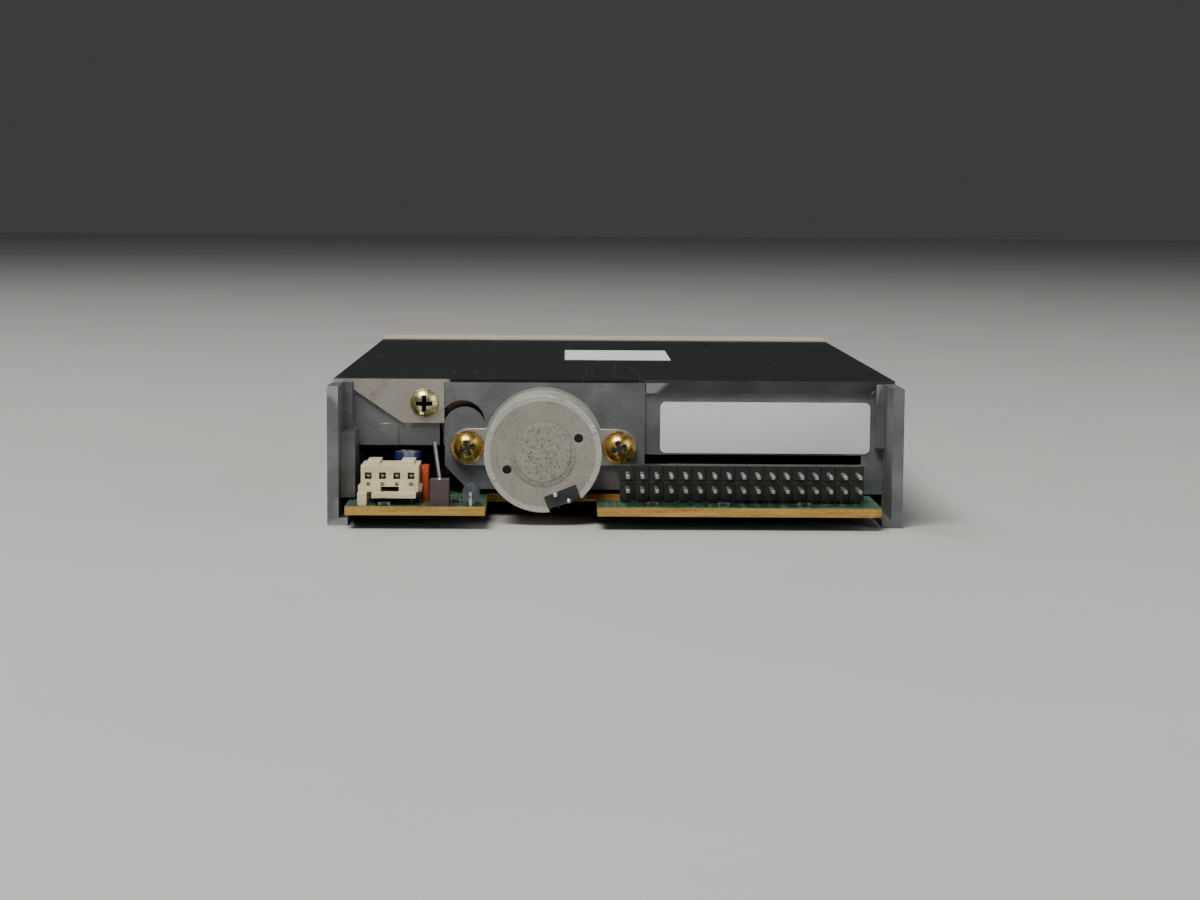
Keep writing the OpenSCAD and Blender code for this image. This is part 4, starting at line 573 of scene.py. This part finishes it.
def finish_piece(thing, name, body, slot, *replaced):
    """Names a piece, dresses it and hangs it on its body."""
    settle(thing)
    thing.name = name
    thing.data.name = name
    thing.data.materials.clear()
    thing.data.materials.append(FINISHES[slot])
    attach(thing, body)
    if replaced:
        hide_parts(*replaced)
    return thing


def weigh(thing):
    """Lets the large faces lead the shading of the bevels beside them."""
    weights = thing.modifiers.new("weights", "WEIGHTED_NORMAL")
    weights.use_face_influence = True
    weights.keep_sharp = True
    bpy.ops.object.modifier_apply(modifier=weights.name)


def cut_long_edges(thing, longest=3 * MM, rounds=7):
    """Halves long edges, so that wear stays close to the corner where it starts."""
    for _ in range(rounds):
        edit(thing)
        bpy.ops.mesh.select_mode(type="EDGE")
        bpy.ops.mesh.select_all(action="DESELECT")
        done()
        points = thing.data.vertices
        found = False
        for line in thing.data.edges:
            a, b = line.vertices
            line.select = (points[a].co - points[b].co).length > longest
            found = found or line.select
        if not found:
            return
        bpy.ops.object.mode_set(mode="EDIT")
        bpy.ops.mesh.subdivide(number_cuts=1, smoothness=0)
        done()


WELD = 0.002 * MM
FLAT = 0.6  # degrees between triangles that count as one face


def edged(node, name, width, segments=2, angle=35, smooth=32):
    """A copy of a CAD node with its edges broken, which stands for the node.

    The width is in millimetres, and the angles in degrees.
    """
    thing = bpy.data.objects.new(name, frame["nodes"][node].data.copy())
    bpy.context.scene.collection.objects.link(thing)
    edit(thing)
    bpy.ops.mesh.select_all(action="SELECT")
    bpy.ops.mesh.remove_doubles(threshold=WELD)
    bpy.ops.mesh.dissolve_limited(angle_limit=math.radians(FLAT))
    bpy.ops.mesh.quads_convert_to_tris(quad_method="BEAUTY", ngon_method="BEAUTY")
    done()
    bevel = thing.modifiers.new("edges", "BEVEL")
    bevel.width = width * MM
    bevel.segments = segments
    bevel.limit_method = "ANGLE"
    bevel.angle_limit = math.radians(angle)
    bevel.use_clamp_overlap = True
    bevel.face_strength_mode = "FSTR_ALL"
    bpy.ops.object.modifier_apply(modifier=bevel.name)
    cut_long_edges(thing)
    alone(thing)
    bpy.ops.object.shade_smooth_by_angle(angle=math.radians(smooth))
    weigh(thing)
    return finish_piece(thing, name, BODIES[node], SLOTS[node], node)


EDGED = {
    "frame": ("frame_casting", 0.22),
    "top_cover": ("cover_sheet", 0.12),
    "tab_screw": ("screw_of_tab", 0.04),
    "bezel": ("bezel_moulding", 0.3),
    "front_flap": ("flap_door", 0.15),
    "eject_button": ("button_cap", 0.3),
    "slider_plate": ("slider_sheet", 0.1),
    "disk_holder": ("holder_cage", 0.1),
    "shutter_lever": ("lever_arm", 0.1),
    "head_carriage": ("carriage_moulding", 0.15),
    "upper_arm": ("arm_moulding", 0.15),
    "motor_can": ("can_shell", 0.12),
    "motor_cap": ("cap_plate", 0.06),
    "motor_flange": ("flange_plate", 0.12),
    "motor_terminals": ("terminal_block", 0.1),
    "motor_screws": ("screws_of_motor", 0.04),
    "motor_washers": ("washers_of_motor", 0.1),
    "spindle_rotor": ("rotor_cup", 0.2),
    "spindle_hub": ("chuck_hub", 0.15),
    "track_sensor": ("sensor_fork", 0.12),
    "switch_body": ("switch_case", 0.15),
    "main_board": ("board_laminate", 0.05),
    "chips": ("chip_cases", 0.12),
    "board_screws": ("screws_of_board", 0.04),
    "data_header": ("header_strip", 0.08),
    "data_pins": ("header_pins", 0.1),
    "power_connector": ("power_socket", 0.04),
    "filter_block": ("filter_body", 0.15),
    "ferrite_bead": ("bead_and_wire", 0.2),
    "red_capacitor": ("red_drop", 0.3),
    "electrolytic_capacitor": ("sleeved_capacitor", 0.25),
}

for node, (name, width) in EDGED.items():
    edged(node, name, width)

for node, thing in frame["nodes"].items():
    if node not in EDGED:
        thing.data.materials.clear()
        thing.data.materials.append(FINISHES[SLOTS[node]])


# Fine pieces


def block(size, place):
    """A cuboid to be worked on, its size and middle in metres."""
    bpy.ops.object.select_all(action="DESELECT")
    bpy.ops.mesh.primitive_cube_add(size=1, location=place, scale=size)
    thing = bpy.context.object
    settle(thing)
    return thing


def rod(radius, length, place, sides=24, along="Z", tip=None):
    """A round bar to be worked on, with its middle at a place."""
    turn = {"X": (0, math.pi / 2, 0), "Y": (-math.pi / 2, 0, 0), "Z": (0, 0, 0)}[along]
    bpy.ops.object.select_all(action="DESELECT")
    bpy.ops.mesh.primitive_cone_add(
        vertices=sides,
        radius1=radius,
        radius2=radius if tip is None else tip,
        depth=length,
        location=place,
        rotation=turn,
    )
    thing = bpy.context.object
    settle(thing)
    return thing


def pick(thing, test):
    """Starts editing with the faces whose middle and direction pass a test."""
    edit(thing)
    bpy.ops.mesh.select_mode(type="FACE")
    bpy.ops.mesh.select_all(action="DESELECT")
    done()
    for face in thing.data.polygons:
        face.select = bool(test(face.center, face.normal))
    bpy.ops.object.mode_set(mode="EDIT")


def pull(offset):
    """Extrudes the picked faces by an offset."""
    bpy.ops.mesh.extrude_region_move(TRANSFORM_OT_translate={"value": offset})


def soften(thing, width, segments=2, angle=30, smooth=35):
    """Breaks the edges of a piece and smooths what is round."""
    alone(thing)
    bevel = thing.modifiers.new("edges", "BEVEL")
    bevel.width = width
    bevel.segments = segments
    bevel.limit_method = "ANGLE"
    bevel.angle_limit = math.radians(angle)
    bevel.face_strength_mode = "FSTR_ALL"
    bpy.ops.object.modifier_apply(modifier=bevel.name)
    bpy.ops.object.shade_smooth_by_angle(angle=math.radians(smooth))
    weigh(thing)


def repeated(model, places):
    """Joins copies of one model, moved to each place, into one piece."""
    copies = []
    for place in places:
        copy = bpy.data.objects.new(model.name, model.data.copy())
        bpy.context.scene.collection.objects.link(copy)
        copy.location = place
        copies.append(copy)
    bpy.data.objects.remove(model)
    bpy.ops.object.select_all(action="DESELECT")
    for copy in copies:
        copy.select_set(True)
    bpy.context.view_layer.objects.active = copies[0]
    if len(copies) > 1:
        bpy.ops.object.join()
    return bpy.context.view_layer.objects.active


board_low, board_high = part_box("main_board")
pins_low, pins_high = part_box("data_pins")
power_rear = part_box("power_connector")[1].y
power_pins_low, power_pins_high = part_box("power_pins")
COLUMNS = 17
WAYS = 4
pin_w = 0.64 * MM
column_pitch = (pins_high.x - pins_low.x - pin_w) / (COLUMNS - 1)
way_pitch = (power_pins_high.x - power_pins_low.x - pin_w) / (WAYS - 1)
columns = [pins_low.x + pin_w / 2 + n * column_pitch for n in range(COLUMNS)]
ways = [power_pins_low.x + pin_w / 2 + n * way_pitch for n in range(WAYS)]
leg_rows = [pins_low.y + pin_w / 2, pins_low.y + pin_w / 2 + column_pitch]
power_leg_y = power_pins_low.y + pin_w / 2


def solder_cones():
    """A fillet of solder round each leg under the board."""
    height = 0.75 * MM
    cone = rod(0.8 * MM, height, (0, 0, 0), 14, tip=0.3 * MM)
    pick(cone, lambda c, n: n.z > 0.9)
    bpy.ops.mesh.inset(thickness=0.08 * MM)
    pull((0, 0, 0.12 * MM))
    bpy.ops.transform.resize(value=(0.6, 0.6, 1))
    bpy.ops.mesh.select_all(action="SELECT")
    bpy.ops.transform.rotate(value=math.pi, orient_axis="X", center_override=(0, 0, 0))
    done()
    soften(cone, 0.06 * MM)
    cone.name = "cone"
    z = board_low.z - height / 2
    places = [(x, y, z) for x in columns for y in leg_rows]
    places += [(x, power_leg_y, z) for x in ways]
    finish_piece(repeated(cone, places), "solder_under_board", "chassis", "tinned_pins")


def solder_collars():
    """Low rings of solder that wicked up round the legs on top of the board."""
    collar = rod(0.62 * MM, 0.3 * MM, (0, 0, 0), 14, tip=0.38 * MM)
    soften(collar, 0.08 * MM)
    z = board_high.z + 0.13 * MM
    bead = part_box("ferrite_bead")
    spots = [(x, power_leg_y, z) for x in ways]
    spots += [((bead[0].x + bead[1].x) / 2, bead[0].y + 0.3 * MM, z)]
    finish_piece(repeated(collar, spots), "solder_on_board", "chassis", "tinned_pins")


def chip_parts():
    """Small surface parts: dark bodies with a tinned cap at both ends.

    Their places on and under the board are in metres, each an X and a Y.
    """
    top = board_high.z
    low = board_low.z
    length, width, height = 2.0 * MM, 1.25 * MM, 0.55 * MM
    above = [(0.0405, 0.0748), (0.0352, 0.0700), (0.0282, 0.0702), (0.0262, 0.0640)]
    above += [(0.0245, 0.0755), (0.0300, 0.0632), (-0.0065, 0.0727), (-0.0190, 0.0729)]
    above += [(-0.0332, 0.0727)]
    below = [(x, y) for y in (0.045, 0.036, 0.020) for x in (-0.032, -0.022, -0.010, 0.006, 0.028)]
    below += [(0.030, 0.066), (0.039, 0.058), (-0.012, 0.060), (-0.030, 0.059)]
    places = [(x, y, top + height / 2) for x, y in above if y < board_high.y - width]
    places += [(x, y, low - height / 2) for x, y in below]
    body = block((length, width, height), (0, 0, 0))
    pick(body, lambda c, n: abs(n.z) > 0.9)
    bpy.ops.mesh.inset(thickness=0.18 * MM)
    bpy.ops.transform.resize(value=(1, 1, 1.12))
    done()
    soften(body, 0.05 * MM, 1)
    finish_piece(repeated(body, places), "chip_resistors", "chassis", "chip_black")
    cap = block((0.42 * MM, width * 1.06, height * 0.98), (0, 0, 0))
    soften(cap, 0.09 * MM)
    side = (length - 0.36 * MM) / 2
    ends = [(x + s * side, y, z) for x, y, z in places for s in (-1, 1)]
    finish_piece(repeated(cap, ends), "resistor_ends", "chassis", "tinned_pins")


def under_circuit():
    """A flat controller circuit under the board, with gull-wing legs on four sides."""
    size, thick = 14 * MM, 1.3 * MM
    x, y = -0.022, 0.0500
    z = board_low.z - 0.1 * MM - thick / 2
    body = block((size, size, thick), (x, y, z))
    pick(body, lambda c, n: n.z < -0.9)
    bpy.ops.transform.resize(value=(0.95, 0.95, 1))
    bpy.ops.mesh.inset(thickness=0.5 * MM)
    done()
    pick(body, lambda c, n: n.z > 0.9)
    bpy.ops.transform.resize(value=(0.96, 0.96, 1))
    done()
    soften(body, 0.1 * MM)
    aside = 0.35 * size
    mark = rod(0.6 * MM, 0.1 * MM, (x - aside, y + aside, z - thick / 2 - 0.01 * MM), 20)
    pick(mark, lambda c, n: n.z < -0.9)
    bpy.ops.mesh.inset(thickness=0.15 * MM)
    pull((0, 0, 0.06 * MM))
    done()
    finish_piece(body, "controller_case", "chassis", "chip_black")
    finish_piece(mark, "controller_dot", "chassis", "arm_plastic")
    leg = block((0.35 * MM, 0.5 * MM, 0.15 * MM), (0, 0, 0))
    pick(leg, lambda c, n: n.y > 0.9)
    pull((0, 0.12 * MM, 0.62 * MM))
    pull((0, 0.75 * MM, 0))
    done()
    soften(leg, 0.03 * MM, 1)
    row = 16
    pitch = 0.8 * MM
    out = size / 2 + 0.1 * MM
    shift = [(n - (row - 1) / 2) * pitch for n in range(row)]
    side = repeated(leg, [(s, out, -0.04 * MM) for s in shift])
    for quarter in range(4):
        legs = bpy.data.objects.new("legs", side.data.copy())
        bpy.context.scene.collection.objects.link(legs)
        edit(legs)
        bpy.ops.mesh.select_all(action="SELECT")
        turn = quarter * math.pi / 2
        bpy.ops.transform.rotate(value=turn, orient_axis="Z", center_override=(0, 0, 0))
        done()
        legs.location = (x, y, z)
        finish_piece(legs, f"controller_legs_{quarter + 1}", "chassis", "tinned_pins")
    bpy.data.objects.remove(side)


def contact_hooks():
    """The sprung contacts that show as bright hooks in the power socket's slots."""
    floor_z = board_high.z + 4.4 * MM
    hook = block((0.8 * MM, 3.4 * MM, 0.16 * MM), (0, 0, 0))
    pick(hook, lambda c, n: n.y > 0.9)
    pull((0, 0.5 * MM, 0.28 * MM))
    pull((0, 0.12 * MM, 0.3 * MM))
    pull((0, -0.45 * MM, 0.16 * MM))
    done()
    soften(hook, 0.04 * MM, 2)
    y = power_rear - 5.2 * MM
    places = [(x, y, floor_z + 0.12 * MM) for x in ways]
    finish_piece(repeated(hook, places), "contact_hooks", "chassis", "tinned_pins")


def terminal_tips():
    """Bright solder tips on the motor's terminal block."""
    low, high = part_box("motor_terminals")
    tip = rod(0.62 * MM, 0.8 * MM, (0, 0, 0), 16, "Y", tip=0.3 * MM)
    pick(tip, lambda c, n: abs(n.y) > 0.9)
    bpy.ops.mesh.inset(thickness=0.1 * MM)
    pull((0, 0.15 * MM, 0))
    done()
    soften(tip, 0.1 * MM, 3)
    turn = math.radians(22)
    middle = ((low.x + high.x) / 2, (low.z + high.z) / 2)
    half = 1.3 * MM
    y = min(high.y + 0.12 * MM, 75.7 * MM)
    places = [
        (middle[0] + s * half * math.cos(turn), y, middle[1] + s * half * math.sin(turn))
        for s in (-1, 1)
    ]
    finish_piece(repeated(tip, places), "terminal_solder", "chassis", "ground_steel")


def bright_leads():
    """Tinned wires of the brown block and of the grey bead."""
    block_x, block_y, block_top = 30.85, 73.5, 8.6
    length = 6.6
    lead = rod(0.28 * MM, length * MM, mm(0, 0, length / 2), 16)
    pick(lead, lambda c, n: n.z > 0.9)
    bpy.ops.mesh.inset(thickness=0.06 * MM)
    pull((0, 0, 0.05 * MM))
    bpy.ops.mesh.select_all(action="SELECT")
    lean = math.radians(-8)
    bpy.ops.transform.rotate(value=lean, orient_axis="Y", center_override=(0, 0, 0))
    done()
    soften(lead, 0.05 * MM)
    lead.location = mm(block_x, block_y, block_top)
    finish_piece(lead, "block_lead", "chassis", "ground_steel")
    foot_at = mm(block_x + 0.02, block_y, block_top + 0.1)
    foot = rod(0.6 * MM, 0.3 * MM, foot_at, 16, tip=0.32 * MM)
    soften(foot, 0.08 * MM)
    finish_piece(foot, "block_lead_solder", "chassis", "tinned_pins")
    bead_x, bead_z, wire = 25.4, 6.3, 0.33 * MM
    ends_y = (70.0, 75.9)
    level = rod(wire, 6.56 * MM, mm(bead_x, sum(ends_y) / 2, bead_z), 16, "Y")
    soften(level, 0.12 * MM, 3)
    ends = rod(wire, 2.3 * MM, (0, 0, 0), 16)
    soften(ends, 0.06 * MM)
    ends = repeated(ends, [mm(bead_x, y, bead_z - 1.1) for y in ends_y])
    finish_piece(level, "bead_wire", "chassis", "ground_steel")
    finish_piece(ends, "bead_wire_ends", "chassis", "ground_steel")


def crimped_top():
    """The bare dished top of the blue capacitor's can."""
    top = rod(1.8 * MM, 0.3 * MM, mm(37.2, 61.4, 12.13), 32)
    pick(top, lambda c, n: n.z > 0.9)
    bpy.ops.mesh.inset(thickness=0.22 * MM)
    pull((0, 0, -0.08 * MM))
    bpy.ops.mesh.inset(thickness=0.5 * MM)
    pull((0, 0, -0.03 * MM))
    done()
    soften(top, 0.04 * MM)
    finish_piece(top, "crimped_top", "chassis", "ground_steel")


def brush_shield():
    """The dark card behind the motor cap, which shows through its two holes."""
    low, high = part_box("motor_cap")
    middle = ((low.x + high.x) / 2, low.y - 0.3 * MM, (low.z + high.z) / 2)
    card = rod(8.6 * MM, 0.3 * MM, middle, 48, "Y")
    pick(card, lambda c, n: n.y > 0.9)
    bpy.ops.mesh.inset(thickness=0.4 * MM)
    pull((0, -0.05 * MM, 0))
    done()
    soften(card, 0.05 * MM, 1)
    finish_piece(card, "brush_shield", "chassis", "black_plastic")


def painted_recess_shades():
    """A dark cross at the bottom of each screw's recess on the rear face: painted shade for the
    shadow inside the recess.
    """
    width_share, reach_share, taper = 0.3, 0.42, 0.75
    for node in ("motor_screws", "tab_screw"):
        low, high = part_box(node)
        head = (high.z - low.z) / 2
        z = (low.z + high.z) / 2
        across = sorted({round(low.x + head, 6), round(high.x - head, 6)})
        arm = head * width_share
        reach = head * reach_share
        cross = block((arm, 0.08 * MM, arm), (0, 0, 0))
        for side in (1, -1):
            pick(cross, lambda c, n: side * n.x > 0.9 and side * c.x > 0)
            pull((side * reach, 0, 0))
            bpy.ops.transform.resize(value=(1, 1, taper))
            done()
        for side in (1, -1):
            pick(cross, lambda c, n: side * n.z > 0.9 and abs(c.x) < arm * width_share)
            pull((0, 0, side * reach))
            bpy.ops.transform.resize(value=(taper, 1, 1))
            done()
        cross.name = "cross"
        places = [(x, high.y - 0.1 * MM, z) for x in across]
        # painted shade: near-black crosses standing for the shade in the screw recesses
        finish_piece(repeated(cross, places), f"{node}_shade", "chassis", "black_plastic")


solder_cones()
solder_collars()
painted_recess_shades()
chip_parts()
under_circuit()
contact_hooks()
terminal_tips()
bright_leads()
crimped_top()
brush_shield()


# Floor, lights and camera


def floor():
    bpy.ops.object.select_all(action="DESELECT")
    bpy.ops.mesh.primitive_plane_add(size=6, location=(0, 0, 0))
    plane = bpy.context.object
    plane.name = "floor"
    f = Finish("floor_pale")
    f.set("Base Color", f.mix(f.noise(60, 2), (0.5, 0.49, 0.47), (0.55, 0.54, 0.52)))
    f.set("Roughness", 0.62 + f.noise(5) * 0.1)
    plane.data.materials.append(f.material)


def lamp(name, place, target, size, power, tint=(1, 1, 1)):
    data = bpy.data.lights.new(name, "AREA")
    data.shape = "RECTANGLE"
    data.size, data.size_y = size
    data.energy = power
    data.color = tint
    thing = bpy.data.objects.new(name, data)
    bpy.context.scene.collection.objects.link(thing)
    thing.location = place
    aim = Vector(target) - Vector(place)
    thing.rotation_euler = aim.to_track_quat("-Z", "Y").to_euler()


def camera():
    focal_pixels, picture_width = 2457, 1200
    data = bpy.data.cameras.new("camera")
    data.sensor_width = 36
    data.lens = focal_pixels / picture_width * data.sensor_width
    data.clip_start = 0.01
    thing = bpy.data.objects.new("camera", data)
    bpy.context.scene.collection.objects.link(thing)
    pitch, yaw, roll = math.radians(5.92), math.radians(0.8), math.radians(0.4)
    level = math.cos(pitch)
    aim = Vector((-math.sin(yaw) * level, -math.cos(yaw) * level, -math.sin(pitch)))
    turn = aim.to_track_quat("-Z", "Y").to_matrix() @ Matrix.Rotation(roll, 3, "Z")
    thing.matrix_world = Matrix.Translation(mm(8.79, 501.7, 58.28)) @ turn.to_4x4()
    bpy.context.scene.camera = thing


floor()
lamp("key", (0.3, 0.6, 1.05), (0, 0, 0), (0.7, 0.45), 17, (1.0, 0.98, 0.95))
lamp("fill", (-0.9, 0.5, 0.45), (0, 0, 0), (0.7, 0.7), 3, (0.95, 0.97, 1.0))
lamp("front", (0.5, -0.55, 1.1), (0, 0, 0), (0.6, 0.4), 4)
world = bpy.data.worlds.new("studio")
world.use_nodes = True
world.node_tree.nodes["Background"].inputs[0].default_value = (0.5, 0.52, 0.55, 1)
world.node_tree.nodes["Background"].inputs[1].default_value = 0.1
bpy.context.scene.world = world
camera()
